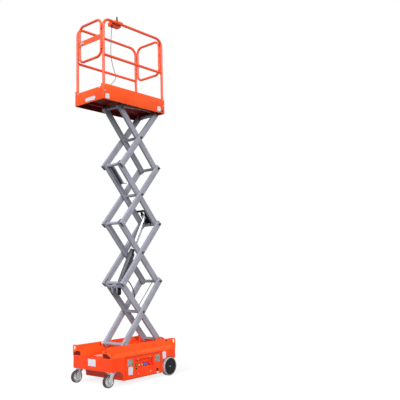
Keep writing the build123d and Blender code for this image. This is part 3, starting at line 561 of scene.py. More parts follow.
for stage in stages:
    low, high = jointZ[stage - 1], jointZ[stage]
    parts = crossShaft(shafts, lift["rightX"], low, shafts["tip"] if stage > 1 else shafts["shortTip"])
    parts += crossShaft(shafts, crossX, low + lift["rise"] / 2, shafts["tip"], stub=stage == 2)
    if stage < 4:
        parts += crossShaft(shafts, lift["leftX"], high, shafts["tip"])
    else:
        parts += [tubedBar(shafts, lift["innerY"] + shafts["rollerReach"], shafts["tubeEnd"], high)]
    node = f"cross_shafts_{stage}"
    makePiece(f"crossShafts{stage}", parts, bodyOf[node], "greySatinCoat", [node])
slideBar = tubedBar(shafts, lift["outerY"] + shafts["rollerReach"], shafts["slideTube"], jointZ[0])
makePiece("slideShaft", [slideBar], "outer_1", "greySatinCoat", ["slide_shaft"])

# Pin ends: a blackened stub with a grease nipple stands out of
# every centre and right-hand joint; left-hand joints end in a bolt
pinEnd = {"start": lift["outerY"] + 0.0045, "reach": 0.030, "flange": 0.017, "stub": 0.0115, "bolt": 0.010}


def pinStub(s):
    # flange, stub, chamfer and nipple as one spun profile
    reach, flange, stub = s["reach"], s["flange"], s["stub"]
    nipple = [(0, 0.0035), (0.003, 0.0035), (0.004, 0.0022), (0.0055, 0.0028), (0.0065, 0.0015), (0.0068, 0)]
    profile = [(0, 0), (0, flange), (0.004, flange), (0.0048, stub), (reach - 0.003, stub),
               (reach, stub - 0.003)]
    return turned(profile + [(reach + a, r) for a, r in nipple], (0, s["start"], 0), yWay, 28)


for stage in stages:
    low = jointZ[stage - 1]
    stubs = [(crossX, 0, low + lift["rise"] / 2)]
    stubs += [(lift["rightX"], 0, low)] if stage > 1 else []
    ends = bothSides([copies(pinStub(pinEnd), stubs)])
    makePiece(f"pinEnds{stage}", ends, f"inner_{stage}", "blackenedPinSteel")
    if stage < 4:
        bolt = copies(hexBolt(yWay, pinEnd["bolt"]), (lift["leftX"], shafts["tip"], jointZ[stage]))
        makePiece(f"pinBolts{stage}", bothSides([bolt]), f"inner_{stage}", "zincPlatedSteel")

# Rollers: turned nylon with crowned tread and a dished face
roller = {"radius": 0.035, "width": 0.024, "bore": 0.0182, "gap": 0.006, "capGap": 0.0302,
          "cap": [(0, 0), (0, 0.031), (0.002, 0.0315), (0.0035, 0.029), (0.0035, 0.016), (0.006, 0.014),
                  (0.007, 0.011), (0.007, 0)]}


def rollerRing(s, frameY, z):
    # closed ring profile with a groove in both faces and a slightly crowned tread, spun about the pin
    r, w, b = s["radius"], s["width"], s["bore"]
    face = [(0.001, b), (0, b + 0.004), (0, r - 0.009), (0.0025, r - 0.007), (0.0025, r - 0.004),
            (0, r - 0.0025), (0.0015, r - 0.0003)]
    profile = face + [(w / 2, r)] + [(w - a, radius) for a, radius in face[::-1]] + face[:1]
    return turned(profile, (lift["leftX"], frameY + s["gap"], z), yWay, 48)


rollerCap = turned(roller["cap"], (lift["leftX"], lift["outerY"] + roller["capGap"], jointZ[0]), yWay, 40)
makePiece("rollerCaps", bothSides([rollerCap]), "outer_1", "greySatinCoat")
for level, body, frameY, z in (("lower", "outer_1", lift["outerY"], jointZ[0]),
                               ("upper", "inner_4", lift["innerY"], jointZ[4])):
    ring = rollerRing(roller, frameY, z)
    makePiece(f"{level}RollerFar", [ring], body, "turnedNylon", [f"{level}_rollers"], along=yWay)
    makePiece(f"{level}RollerNear", [mirrorY(ring)], body, "darkGreyNylon", along=yWay)
print("shafts and rollers made")

# Lifting cylinder: welded barrel with base eye and gland nut, ground rod with a cross eye
ram = {"low": np.array([-0.126184, 0, 1.165365]), "high": np.array([0.443270, 0, 2.240184]),
       "barrel": 0.640, "radius": 0.038, "rod": 0.022, "eye": 0.030, "footBore": 0.0123, "headBore": 0.0105,
       "headHalf": 0.025}
ramLength = float(np.linalg.norm(ram["high"] - ram["low"]))
ramAhead = unit(ram["high"] - ram["low"])
ramOver = np.array([-ramAhead[2], 0, ramAhead[0]])


def ramSpot(along, out=np.zeros(3)):
    # place on the ram: metres up its line from the foot pin, then a step off the line
    return ram["low"] + along * ramAhead + np.asarray(out)


def eyeRing(at, radius, bore, half):
    # closed ring profile, eased at the bore and at the rim, spun about the pin
    side = [(half, bore + 0.001), (half - 0.001, bore)]
    rim = [(half - 0.0015, radius), (half, radius - 0.0015)]
    right = rim + side
    return turned([(-a, r) for a, r in right[::-1]] + right + [(0.001 - half, bore)], at, yWay, 40)


def ramPieces(s):
    # barrel and rod are profiles of (along the ram, radius) spun
    # about its line; beads and steps are rows of the profile
    r, end, rod = s["radius"], s["barrel"], s["rod"]
    barrel = [(0.018, 0), (0.018, r - 0.006), (0.024, r - 0.001), (0.027, r + 0.0015), (0.031, r),
              (0.034, r - 0.001), (end - 0.036, r - 0.001), (end - 0.034, r), (end - 0.002, r),
              (end, r - 0.002), (end, r - 0.0045), (end + 0.024, r - 0.0045), (end + 0.026, r - 0.0065),
              (end + 0.026, rod + 0.0025), (end + 0.023, rod + 0.0006), (end + 0.010, rod + 0.0004),
              (end - 0.02, rod + 0.0004), (end - 0.02, 0)]
    foot = eyeRing(s["low"], s["eye"], s["footBore"], r)
    # the barrel is the arms' grey darkened to graphite: painted shade
    makePiece("ramBarrel", [turned(barrel, s["low"], ramAhead, 56), foot], "cylinder_tube",
              "graphitePaintedShade", ["cylinder_barrel"])
    tip = ramLength
    bar = [(end - 0.06, 0), (end - 0.06, rod), (tip - 0.034, rod), (tip - 0.031, rod + 0.003),
           (tip - 0.026, rod + 0.002), (tip - 0.022, rod - 0.002), (tip - 0.018, 0)]
    head = eyeRing(s["high"], s["eye"], s["headBore"], s["headHalf"])
    makePiece("ramRod", [turned(bar, s["low"], ramAhead, 56), head], "cylinder_piston", "hardChromedSteel",
              ["cylinder_rod"], along=ramAhead)


ramPieces(ram)
softened("cylinder_foot", "greySatinCoat")
softened("cylinder_head", "blackSatinPaint")
footPin = {"y": 0.0632, "box": (0.062, 0.110, 0.026, 6), "up": 0.018, "thick": 0.005, "bolt": 0.017}
footCheek = plate(roundedBox(*footPin["box"]), ram["low"] + np.array([0, footPin["y"], footPin["up"]]),
                  -xWay, zWay, footPin["thick"])
footBolt = copies(hexBolt(yWay, footPin["bolt"]), ram["low"] + (footPin["y"] + footPin["thick"]) * yWay)
makePiece("footCheeks", bothSides([footCheek, footBolt]), "inner_1", "blackSatinPaint")

armDown, armUp = armLine(0, False, 0)[1:]


def armSpot(stage, along, over, y=0.0):
    # place on an inner frame: metres down its slope from the left joint, metres above its line
    joint = np.array([lift["leftX"], y, jointZ[stage]])
    return joint + np.multiply.outer(np.asarray(along), armDown) + np.multiply.outer(np.asarray(over), armUp)


def armPlate(stage, along, over, y, box, thick):
    # a round-cornered plate along an inner frame; box is its length, height, corner and the corner's steps
    return plate(roundedBox(*box), armSpot(stage, along, over, y), armDown, armUp, thick)


def smoothPath(points, steps=10):
    # each span between two points is the cubic that passes
    # through both and leaves along the line of its neighbours
    p = np.asarray(points, float)
    p = np.vstack([2 * p[0] - p[1], p, 2 * p[-1] - p[-2]])
    a, b, c, d = (p[i:len(p) - 3 + i][:, None] for i in range(4))
    t = np.linspace(0, 1, steps, endpoint=False)[None, :, None]
    square, cube = 2 * a - 5 * b + 4 * c - d, 3 * b - a - 3 * c + d
    curve = 0.5 * (2 * b + (c - a) * t + square * t ** 2 + cube * t ** 3)
    return np.vstack([curve.reshape(-1, 3), p[-2]])


# Hydraulic hose: leaves the ram's foot in an arc and runs
# down the inside of the first inner frame under clips
hose = {"y": -0.104, "radius": 0.0075,
        "along": [0.060, 0.035, 0.045, 0.082, 0.165, 0.262, 0.330, 0.375, 0.430, 0.60, 0.80, 0.98],
        "over": [-0.020, 0.040, 0.100, 0.133, 0.140, 0.120, 0.083, 0.045, 0.018, 0.012, 0.012, 0.012],
        "clips": (0.52, 0.72, 0.93), "clipOver": 0.012, "band": (0.008, 0.0078, 0.0098),
        "pad": (0.016, 0.030, 0.003, 3), "padOut": 0.0095, "padThick": 0.0062}
hosePath = smoothPath(armSpot(1, hose["along"], hose["over"], hose["y"]))
makePiece("ramHose", [swept(hosePath, circle(hose["radius"], 14), yWay)], "inner_1", "blackNitrileHose")
clips = [turned(bandProfile(*hose["band"]), armSpot(1, q, hose["clipOver"], hose["y"]), armDown, 20)
         for q in hose["clips"]]
clips += [armPlate(1, q, hose["clipOver"], hose["y"] - hose["padOut"], hose["pad"], hose["padThick"])
          for q in hose["clips"]]
makePiece("hoseClips", clips, "inner_1", "zincPlatedSteel")

# Ram pipe: rubber-sleeved line along the barrel's near side from the base port to the gland
pipe = {"out": unit(np.array([0, -0.0436, 0]) - 0.024 * ramOver), "off": 0.0500, "port": 0.030,
        "ends": (0.075, 0.600), "radius": 0.0105, "bend": 0.015,
        "nut": [(0.030, 0), (0.030, 0.014), (0.042, 0.014), (0.043, 0.012), (0.045, 0.012), (0.045, 0)]}
low, high = pipe["ends"]
turns = ((low, pipe["port"]), (low, pipe["off"]), (high, pipe["off"]), (high, pipe["port"]))
pipePath = roundedPath([ramSpot(q, d * pipe["out"]) for q, d in turns], pipe["bend"], 6)
ports = [turned(pipe["nut"], ramSpot(q), pipe["out"], 6) for q in pipe["ends"]]
pipeLine = swept(pipePath, circle(pipe["radius"], 14), np.cross(ramAhead, pipe["out"]))
makePiece("ramPipe", [pipeLine] + ports, "cylinder_tube", "blackNitrileHose")

# Gussets: two black cheek plates from the ram's head lugs to
# the joint shaft behind them, and a plate across their backs
gusset = {"outline": [(0.484, 2.150), (0.496, 2.104), (0.522, 2.090), (0.548, 2.104), (0.546, 2.136),
                      (0.448, 2.276), (0.400, 2.262)], "y": 0.0460, "thick": 0.008, "corner": 0.006,
          "back": [(0.452, 2.270), (0.541, 2.142)], "backIn": 0.010, "backThick": 0.006}
cheek = plate(roundedPath(gusset["outline"], gusset["corner"], 4, True),
              (0, gusset["y"] + gusset["thick"], 0), xWay, zWay, gusset["thick"])
backTop, backLow = [np.array([x, 0, z]) for x, z in gusset["back"]]
backBox = roundedBox(2 * gusset["y"] - gusset["backIn"], float(np.linalg.norm(backLow - backTop)), 0.004, 3)
backPlate = plate(backBox, (backTop + backLow) / 2, yWay, unit(backLow - backTop), gusset["backThick"])
makePiece("headGussets", bothSides([cheek]) + [backPlate], "inner_3", "blackSatinPaint")

# Stroke rod: thin steel rod clamped to the ram's rod on the near side, sliding through a guide on the gland
stroke = {"y": -0.046, "radius": 0.005, "from": ram["barrel"] - 0.020, "to": ramLength - 0.115,
          "clamp": (0.016, 0.024, 0.004, 4), "clampIn": 0.010, "clampY": -0.015, "clampThick": 0.039,
          "guide": ram["barrel"] + 0.012, "ring": (0.006, 0.0054, 0.0105), "arm": (0.012, 0.018, 0.002, 2),
          "armY": -0.031, "armThick": 0.009}
strokeLine = np.array([ramSpot(q, stroke["y"] * yWay) for q in (stroke["from"], stroke["to"])])
clampSpot = ramSpot(stroke["to"] - stroke["clampIn"], stroke["clampY"] * yWay)
clamp = plate(roundedBox(*stroke["clamp"]), clampSpot, ramAhead, ramOver, stroke["clampThick"])
makePiece("strokeRod", [swept(strokeLine, circle(stroke["radius"], 12), yWay), clamp], "cylinder_piston",
          "blackenedPinSteel")
guide = turned(tubeProfile(*stroke["ring"]), ramSpot(stroke["guide"], stroke["y"] * yWay), ramAhead, 20)
guideSpot = ramSpot(stroke["guide"], stroke["armY"] * yWay)
guideArm = plate(roundedBox(*stroke["arm"]), guideSpot, ramAhead, ramOver, stroke["armThick"])
makePiece("strokeGuide", [guide, guideArm], "cylinder_tube", "blackSatinPaint")

# Maintenance prop: stowed grey channel with a dark sheet on its web as painted shade, held by its pin and a
# pull handle
prop = {"from": 0.034, "to": 0.345, "low": -0.006, "high": 0.050, "web": 0.113, "deep": 0.026,
        "wall": 0.004, "webShadeThick": 0.003, "leg": (0.010, 0.064), "legTall": 0.020, "legThick": 0.007,
        "stays": (0.075, 0.300), "stayOver": 0.054, "stay": (0.014, 0.022, 0.002, 2), "stayThick": 0.006,
        "brackets": (0.08, 0.29), "bracketOver": 0.010, "bracket": (0.024, 0.030, 0.003, 2),
        "bracketOut": 0.0075, "bracketThick": 0.0085,
        "pull": ([0.330, 0.350, 0.366, 0.378], [0.060, 0.066, 0.088, 0.108]), "pullRadius": 0.005,
        "webIn": (0.004, 0.010), "legIn": 0.010, "legBack": 0.006, "stayBack": 0.012, "pullBack": 0.002}
propMid, propLong = (prop["from"] + prop["to"]) / 2, prop["to"] - prop["from"]
propFront = prop["web"] - prop["deep"]


def propChannel(s):
    # a channel section carried down the third inner frame on its far side
    y0, y1, low, high, w = propFront, s["web"], s["low"], s["high"], s["wall"]
    section = np.array([(y0, low), (y1, low), (y1, high), (y0, high), (y0, high - w), (y1 - w, high - w),
                        (y1 - w, low + w), (y0, low + w)])
    ends = [armSpot(3, a, section[:, 1]) + section[:, :1] * yWay for a in (s["from"], s["to"])]
    n = len(section)
    return np.vstack(ends), gridFaces(2, n, False, True) + [list(range(n)), list(range(n, 2 * n))]


makePiece("propChannel", [propChannel(prop)], "inner_3", "greySatinCoat", ["safety_prop"])
# a dark sheet over the inside of the web: painted shade in the channel
webBox = (propLong - prop["webIn"][0], prop["high"] - prop["low"] - prop["webIn"][1], 0.002, 2)
webSpan = armPlate(3, propMid, (prop["low"] + prop["high"]) / 2, prop["web"] - prop["wall"], webBox,
                   prop["webShadeThick"])
makePiece("propWebShade", [webSpan], "inner_3", "graphitePaintedShade")
legShift, legOver = prop["leg"]
legBox = (propLong - prop["legIn"], prop["legTall"], 0.003, 3)
legBar = armPlate(3, propMid + legShift, legOver, propFront + prop["legBack"], legBox, prop["legThick"])
stayY = propFront + prop["stayBack"]
legStays = [armPlate(3, a, prop["stayOver"], stayY, prop["stay"], prop["stayThick"]) for a in prop["stays"]]
makePiece("propLeg", [legBar] + legStays, "inner_3", "greySatinCoat")
handle = smoothPath(armSpot(3, *prop["pull"], propFront + prop["pullBack"]), 8)
brackets = [armPlate(3, a, prop["bracketOver"], prop["web"] + prop["bracketOut"], prop["bracket"],
                     prop["bracketThick"]) for a in prop["brackets"]]
makePiece("propHandle", [swept(handle, circle(prop["pullRadius"], 12), yWay)] + brackets, "inner_3",
          "blackenedPinSteel")

# Switch lead: thin grey wire tied from the right joint's shaft
# to the centre shaft, in line with the first outer frame
lead = {"radius": 0.0055, "from": (0.516, -0.050, 1.276), "to": (0.196, -0.050, 0.907)}
leadPath = np.array([lead["from"], lead["to"]])
makePiece("switchLead", [swept(leadPath, circle(lead["radius"], 10), yWay)], "outer_1", "greyPvcSheath")
print("ram made")

# Guard rails: bent tube arch and mid rail on each side, with a fillet weld where the mid rail meets the posts
rail = {"bend": 0.110, "midZ": 4.360888, "overlap": 0.014, "weld": 0.0028,
        "foot": [(0, 0), (0, 0.004), (0.0015, 0.003), (0.005, 0), (0, 0)]}


def railSide(s, y):
    # arch path with rounded corners swept by a circle; the
    # weld is a bead along the curve where the two tubes cross
    (x0, x1), low, high = lift["postX"], lift["floorZ"], lift["railZ"]
    arch = roundedPath([(x0, y, low), (x0, y, high), (x1, y, high), (x1, y, low)], s["bend"], 16)
    mid = np.array([(x0 + s["overlap"], y, s["midZ"]), (x1 - s["overlap"], y, s["midZ"])])
    parts = [swept(arch, circle(lift["railR"], 28), yWay), swept(mid, circle(lift["midR"], 24), yWay)]
    spin = circle(1.0, 32)
    radial = np.c_[0 * spin[:, 0], spin]
    rim = radial * lift["midR"]
    reach = np.sqrt(lift["railR"] ** 2 - rim[:, 1] ** 2)
    small = s["weld"] * circle(1.0, 8)[None, :, :, None]
    ring = np.array([(a, lift["railR"] + r) for a, r in s["foot"]])
    for x, way in ((x0, 1), (x1, -1)):
        line = rim + np.array([x, y, s["midZ"]]) + np.outer(way * reach, xWay)
        bead = line[:, None] + small[:, :, 0] * radial[:, None] + small[:, :, 1] * xWay
        parts.append((bead.reshape(-1, 3), gridFaces(32, 8, True, True)))
        parts.append(turned(ring, (x, y, low), zWay, 32))
    return parts


hinge = {"x": -0.585, "y": -0.2528, "zs": (4.473888, 4.755888), "pin": 0.005, "barrel": 0.009,
         "strapY": -0.2826, "strapX": -0.570, "strapLow": 0.0315, "strapTall": 0.016,
         "leaf": (0.014, 0.0053), "leafLow": 0.0135, "leafTall": 0.027}


def hingeKnuckles(s):
    # fixed half of each hinge: barrel, pin and a strap back to the post
    pin, barrel = s["pin"], s["barrel"]
    profile = [(-0.032, 0), (-0.032, barrel - 0.001), (-0.031, barrel), (-0.016, barrel),
               (-0.015, barrel - 0.001), (-0.015, pin), (0.0135, pin), (0.0145, pin - 0.001), (0.0145, 0)]
    x0, y0 = s["x"] - 0.004, s["y"] + 0.002
    strap = [(x0, y0), (x0, s["strapY"]), (s["strapX"], s["strapY"]), (s["strapX"], y0)]
    parts = []
    for z in s["zs"]:
        parts.append(turned(profile, (s["x"], s["y"], z), zWay, 24))
        parts.append(plate(strap, (0, 0, z - s["strapLow"]), xWay, yWay, s["strapTall"]))
    return parts


makePiece("guardRailFar", railSide(rail, lift["postY"]), "platform", "orangeTubeCoat", ["guard_rail_far"])
nearSide = railSide(rail, -lift["postY"]) + hingeKnuckles(hinge)
makePiece("guardRailNear", nearSide, "platform", "orangeTubeCoat", ["guard_rail_near", "gate_knuckles"])

# End loop and entry gate: closed loops of bent bar
loop = {"halfY": 0.2308, "low": 4.353888, "high": 4.870888, "bend": 0.090, "lug": (0.034, 0.018, 0.003, 3),
        "lugY": 0.2500, "lugThick": 0.018, "lugIn": (0.130, -0.125)}
gate = {"bar": (2 * loop["halfY"], 0.076, 0.004, 3), "barAt": (-0.022, -0.008), "barThick": 0.006,
        "leafIn": 0.0065, "leafOut": 0.010, "latch": (0.050, 0.032, 0.005, 4), "latchIn": 0.082,
        "latchX": -0.030, "latchThick": 0.008, "knobY": -0.009,
        "knob": [(0, 0), (0, 0.007), (0.003, 0.006), (0.008, 0.006), (0.010, 0.0075), (0.013, 0.0078),
                 (0.014, 0.006), (0.014, 0)]}


def barLoop(s, x):
    # a round-cornered rectangle square to the machine's length, swept by a circle
    corners = [(x, -s["halfY"], s["low"]), (x, s["halfY"], s["low"]), (x, s["halfY"], s["high"]),
               (x, -s["halfY"], s["high"])]
    return swept(roundedPath(corners, s["bend"], 14, True), circle(lift["loopR"], 24), xWay, True)


gateX, endX = lift["postX"]
lugZ = [z + d for z, d in zip((loop["low"], loop["high"]), loop["lugIn"])]
lugs = [plate(roundedBox(*loop["lug"]), (endX - loop["lugThick"] / 2, loop["lugY"], z), yWay, zWay,
              loop["lugThick"]) for z in lugZ]
endParts = [barLoop(loop, endX)]
for lug in lugs:
    endParts += bothSides([lug])
makePiece("endLoop", endParts, "platform", "orangeTubeCoat", ["end_loop"])
barZ = (loop["low"] + loop["high"]) / 2
barX, barY = gate["barAt"]
crossBar = plate(roundedBox(*gate["bar"]), (gateX + barX, barY, barZ), yWay, zWay, gate["barThick"])
gateParts = [barLoop(loop, gateX), crossBar]
leafX, leafY = hinge["x"] + gate["leafIn"], -loop["halfY"] - gate["leafOut"]
leaf = [(leafX, hinge["y"]), (gateX, hinge["y"]), (gateX, leafY), (leafX, leafY)]
leafTube = tubeProfile(*hinge["leaf"], hinge["barrel"])
for z in hinge["zs"]:
    gateParts.append(turned(leafTube, (hinge["x"], hinge["y"], z), zWay, 24))
    gateParts.append(plate(leaf, (0, 0, z - hinge["leafLow"]), xWay, yWay, hinge["leafTall"]))
makePiece("gateLoop", gateParts, "gate", "orangeTubeCoat", ["gate_loop", "gate_bar", "gate_leaves"])
latchAt = np.array([gateX + gate["latchX"], loop["halfY"] - gate["latchIn"], barZ])
latchParts = [plate(roundedBox(*gate["latch"]), latchAt, yWay, zWay, gate["latchThick"]),
              turned(gate["knob"], latchAt + gate["knobY"] * yWay, -xWay, 24)]
makePiece("gateLatch", latchParts, "gate", "zincPlatedSteel", ["gate_latch"])
print("rails and gate made")

# Platform tray: skirt sheet folded to a lip at top and
# bottom, lower across the entry, round a chequered floor
tray = {"full": 0.214, "entry": 0.178, "wall": 0.004, "corner": 0.010, "lip": 0.0055, "step": 0.255,
        "under": 0.076, "grid": (420, 216), "cell": 0.036, "barLong": 0.46, "barWide": 0.15,
        "barHigh": 0.0018}


def skirtRing(s):
    # closed plan path carried up a folded section; the section's
    # top rides on a height that drops across the entry
    x0, x1, y = lift["leftEnd"], lift["rightEnd"], lift["platY"]
    flat = roundedPath([(x0, -y, 0), (x1, -y, 0), (x1, y, 0), (x0, y, 0)], s["corner"], 5, True)
    steps = np.array([(x0, s["step"], 0), (x0, s["step"] - 1e-5, 0), (x0, -s["step"] + 1e-5, 0),
                      (x0, -s["step"], 0)])
    path = np.vstack([flat, steps])
    height = np.r_[np.full(len(flat), s["full"]), s["full"], s["entry"], s["entry"], s["full"]]
    ahead = unit(np.roll(path, -1, 0) - np.roll(path, 1, 0))
    inward = np.c_[-ahead[:, 1], ahead[:, 0], 0 * ahead[:, 0]]
    w, lip, fold, soft = s["wall"], s["lip"], 0.002, 0.0006
    # rows of (in from the path, up, share of the height)
    section = [(lip, 0, 0), (fold, 0, 0), (soft, soft, 0), (0, fold, 0), (0, -fold, 1), (soft, -soft, 1),
               (fold, 0, 1), (w, -0.0005, 1), (w, 0.004, 0), (lip, 0.004, 0)]
    rows = [path + a * inward + np.outer(lift["skirtZ"] + b + c * height, zWay) for a, b, c in section]
    return np.array(rows).transpose(1, 0, 2).reshape(-1, 3), gridFaces(len(path), len(section), True, True)


def chequerFloor(s):
    # height field: crossed rows of short lens-shaped bars, each a smooth
    # bump along its own diagonal, over a flat sheet with a flat back
    nx, ny = s["grid"]
    x = np.linspace(lift["leftEnd"] + s["wall"], lift["rightEnd"] - s["wall"], nx)
    y = np.linspace(-lift["platY"] + s["wall"], lift["platY"] - s["wall"], ny)
    gx, gy = np.meshgrid(x, y, indexing="ij")
    i, j = np.floor(gx / s["cell"]), np.floor(gy / s["cell"])
    u, v = gx / s["cell"] - i - 0.5, gy / s["cell"] - j - 0.5
    flip = np.where((i + j) % 2 == 0, 1.0, -1.0)
    along, across = (u + flip * v) / np.sqrt(2), (u - flip * v) / np.sqrt(2)
    bump = np.clip(1 - (along / s["barLong"]) ** 2 - (across / s["barWide"]) ** 2, 0, 1)
    top = np.stack([gx, gy, lift["floorZ"] + s["barHigh"] * np.sqrt(bump)], -1)
    back = np.stack([gx, gy, np.full_like(gx, lift["skirtZ"] + s["under"])], -1)[[0, -1]][:, [0, -1]]
    points = np.vstack([top.reshape(-1, 3), back.reshape(-1, 3)])
    n = nx * ny
    rims = [[n, n + 1, n + 3, n + 2]]
    rims += [[*range(0, ny), n + 1, n], [*range((nx - 1) * ny, nx * ny), n + 3, n + 2]]
    rims += [[*range(0, nx * ny, ny), n + 2, n], [*range(ny - 1, nx * ny, ny), n + 3, n + 1]]
    return points, gridFaces(nx, ny) + rims


makePiece("platformSkirt", [skirtRing(tray)], "platform", "orangeTrayCoat", ["platform_tray"], sharp=40)
makePiece("platformFloor", [chequerFloor(tray)], "platform", "orangeTrayCoat", sharp=60)
# the tracks under the platform are dark red as painted shade
softened("platform_tracks", "darkRedPaintedShade")

# Underside: a sheet below the floor with pressed ribs, and sheets over the inner faces of the skirt, all dark
# red as painted shade
under = {"z": lift["skirtZ"] + tray["under"], "rib": 0.015, "ribHalf": 0.020,
         "ribX": (-0.44, -0.22, 0.0, 0.22, 0.44), "ribY": (-0.112, 0.112), "sideRibY": (0.225, 0.280),
         "sheetIn": 0.005, "sheet": 0.0011, "soft": 0.0002, "gap": 0.0012, "wallIn": 0.012,
         "wallOff": 0.0041, "wallLift": 0.0045}


def pressedRib(s, x, y0, y1):
    # half-round section with flattened ends carried across the
    # sheet: the height fades with the sine of the share along it
    share, bend = np.linspace(0, 1, 17), np.linspace(0, np.pi, 9)
    swell = np.clip(np.sin(np.pi * share), 0, 1) ** 0.25
    rows, cols = len(share), len(bend)
    last = rows * cols - 1
    grid = np.stack([x + np.outer(0.4 + 0.6 * swell, s["ribHalf"] * np.cos(bend)),
                     np.outer(y0 + (y1 - y0) * share, np.ones(cols)),
                     s["z"] - np.outer(swell, s["rib"] * np.sin(bend))], -1)
    caps = [list(range(cols)), list(range(last + 1 - cols, last + 1)),
            [*range(0, last + 1, cols), *range(last, 0, -cols)]]
    return grid.reshape(-1, 3), gridFaces(rows, cols) + caps


trayMidX, trayLong = (lift["leftEnd"] + lift["rightEnd"]) / 2, lift["rightEnd"] - lift["leftEnd"]
x0, x1 = lift["leftEnd"] + under["sheetIn"], lift["rightEnd"] - under["sheetIn"]
y1 = lift["platY"] - under["sheetIn"]
sheet = under["sheet"], under["soft"]
corners = [(x0, -y1), (x1, -y1), (x1, y1), (x0, y1)]
linings = [plate(corners, (0, 0, under["z"] - under["gap"]), xWay, yWay, *sheet)]
wallHigh = tray["under"] - 0.006
wallMid = lift["skirtZ"] + under["wallLift"] + wallHigh / 2
longWall, endWall = [roundedBox(d - under["wallIn"], wallHigh, 0.002, 2)
                     for d in (trayLong, 2 * lift["platY"])]
off = under["wallOff"]
linings += bothSides([plate(longWall, (trayMidX, lift["platY"] - off, wallMid), xWay, zWay, *sheet)])
linings += [plate(endWall, (lift["leftEnd"] + off, 0, wallMid), yWay, zWay, *sheet),
            plate(endWall, (lift["rightEnd"] - off, 0, wallMid), -yWay, zWay, *sheet)]
linings += [pressedRib(under, x, *under["ribY"]) for x in under["ribX"]]
linings += bothSides([pressedRib(under, x, *under["sideRibY"]) for x in under["ribX"]])
makePiece("platformUnderside", linings, "platform", "darkRedPaintedShade")

# Conduit and duct under the platform, held by saddles on short stands
conduit = {"z": 3.7895, "radius": 0.0085, "bend": 0.030,
           "route": [(0.140, -0.084), (0.170, -0.086), (0.205, -0.107), (0.500, -0.107)],
           "duct": [(-0.040, -0.068, 3.7945), (0.168, -0.086, 3.7945)],
           "ductSize": (0.030, 0.036, 0.006, 4), "saddles": ((0.260, -0.107), (0.460, -0.107)),
           "band": (0.008, 0.0086, 0.0108), "stand": (0.016, 0.020, 0.002, 2), "standUp": 0.008,
           "hangers": ((-0.010, -0.0706), (0.120, -0.0818)), "hanger": (0.016, 0.044, 0.002, 2),
           "hangerUp": 0.022}


def standAt(s, x, y, box, up):
    # a post from a little above the pipe's line to just under the sheet
    return plate(roundedBox(*box), (x, y, s["z"] + up), xWay, yWay, under["z"] - s["z"] - up - 0.0002)


conduitPath = roundedPath([(x, y, conduit["z"]) for x, y in conduit["route"]], conduit["bend"], 6)
holders = [turned(bandProfile(*conduit["band"]), (x, y, conduit["z"]), xWay, 20)
           for x, y in conduit["saddles"]]
holders += [standAt(conduit, x, y, conduit["stand"], conduit["standUp"]) for x, y in conduit["saddles"]]
holders += [standAt(conduit, x, y, conduit["hanger"], conduit["hangerUp"]) for x, y in conduit["hangers"]]
duct = swept(np.array(conduit["duct"]), roundedBox(*conduit["ductSize"]), zWay)
conduitParts = [duct, swept(conduitPath, circle(conduit["radius"], 14), zWay)] + holders
# the conduit's pale pink is lifted as painted light in the shade under the platform
makePiece("conduit", conduitParts, "platform", "palePinkPaintedLight")
sleeve = {"half": 0.160, "bore": 0.0183, "radius": 0.0220}
axleSleeve = turned(tubeProfile(**sleeve), (lift["rightX"], 0, jointZ[4]), yWay, 32)
makePiece("axleSleeve", [axleSleeve], "platform", "greySatinCoat")
print("platform made")

# Drive wheels: solid pale tyre on a black dished disc with a small hub cap and wheel nuts
drive = {"x": 0.502, "y": 0.367, "radius": 0.125, "half": 0.038, "round": 0.012, "seat": 0.1101,
         "seatIn": 0.003, "nuts": 5, "nut": 0.006, "nutCircle": 0.070, "nutTurn": 0.3, "nutIn": 0.0105}
wheelSides = ((-1, "Near"), (1, "Far"))


def tyreRing(s):
    # closed (along the axle, radius) ring: seat, side walls and a quarter circle on each shoulder
    half, radius, soft = s["half"], s["radius"], s["round"]
    bend = np.linspace(0, np.pi / 2, 6)
    shoulder = np.c_[half - soft + soft * np.sin(bend), radius - soft + soft * np.cos(bend)]
    seat = np.array([(half - s["seatIn"], s["seat"])])
    return np.vstack([seat * [-1, 1], shoulder[::-1] * [-1, 1], shoulder, seat, seat * [-1, 1]])


def driveWheel(s, side, name):
    # tyre, disc and cap are profiles of (offset along the axle, radius) spun about the axle
    r, w, tag = s["radius"], s["half"], name.lower()
    at, axis, body = np.array([s["x"], side * s["y"], r]), side * yWay, "drive_wheel_" + tag
    disc = [(-w + 0.008, 0.0163), (-w + 0.008, 0.040), (-0.006, 0.042), (-0.006, 0.096),
            (-w + 0.006, 0.098), (-w + 0.006, 0.1099), (w - 0.004, 0.1099), (w - 0.0025, 0.108),
            (w - 0.004, 0.103), (w - 0.009, 0.096), (w - 0.0105, 0.060), (w - 0.0085, 0.050),
            (w - 0.0085, 0.030), (w - 0.010, 0.028), (w - 0.016, 0.0163), (-w + 0.008, 0.0163)]
    cap = [(w - 0.018, 0), (w - 0.018, 0.0085), (w - 0.008, 0.008), (w - 0.005, 0.006), (w - 0.004, 0.003),
           (w - 0.0038, 0)]
    spin = np.linspace(0, 2 * np.pi, s["nuts"], endpoint=False) + s["nutTurn"]
    spots = at + (w - s["nutIn"]) * axis + s["nutCircle"] * np.c_[np.cos(spin), 0 * spin, np.sin(spin)]
    nuts = copies(hexBolt(axis, s["nut"]), spots)
    makePiece("driveTyre" + name, [turned(tyreRing(s), at, axis, 96)], body, "greySolidRubber",
              ["drive_tyre_" + tag])
    makePiece("driveDisc" + name, [turned(disc, at, axis, 72), nuts], body, "blackSatinPaint",
              ["drive_disc_" + tag])
    makePiece("hubCap" + name, [turned(cap, at, axis, 32)], body, "greySatinCoat")


for side, name in wheelSides:
    driveWheel(drive, side, name)

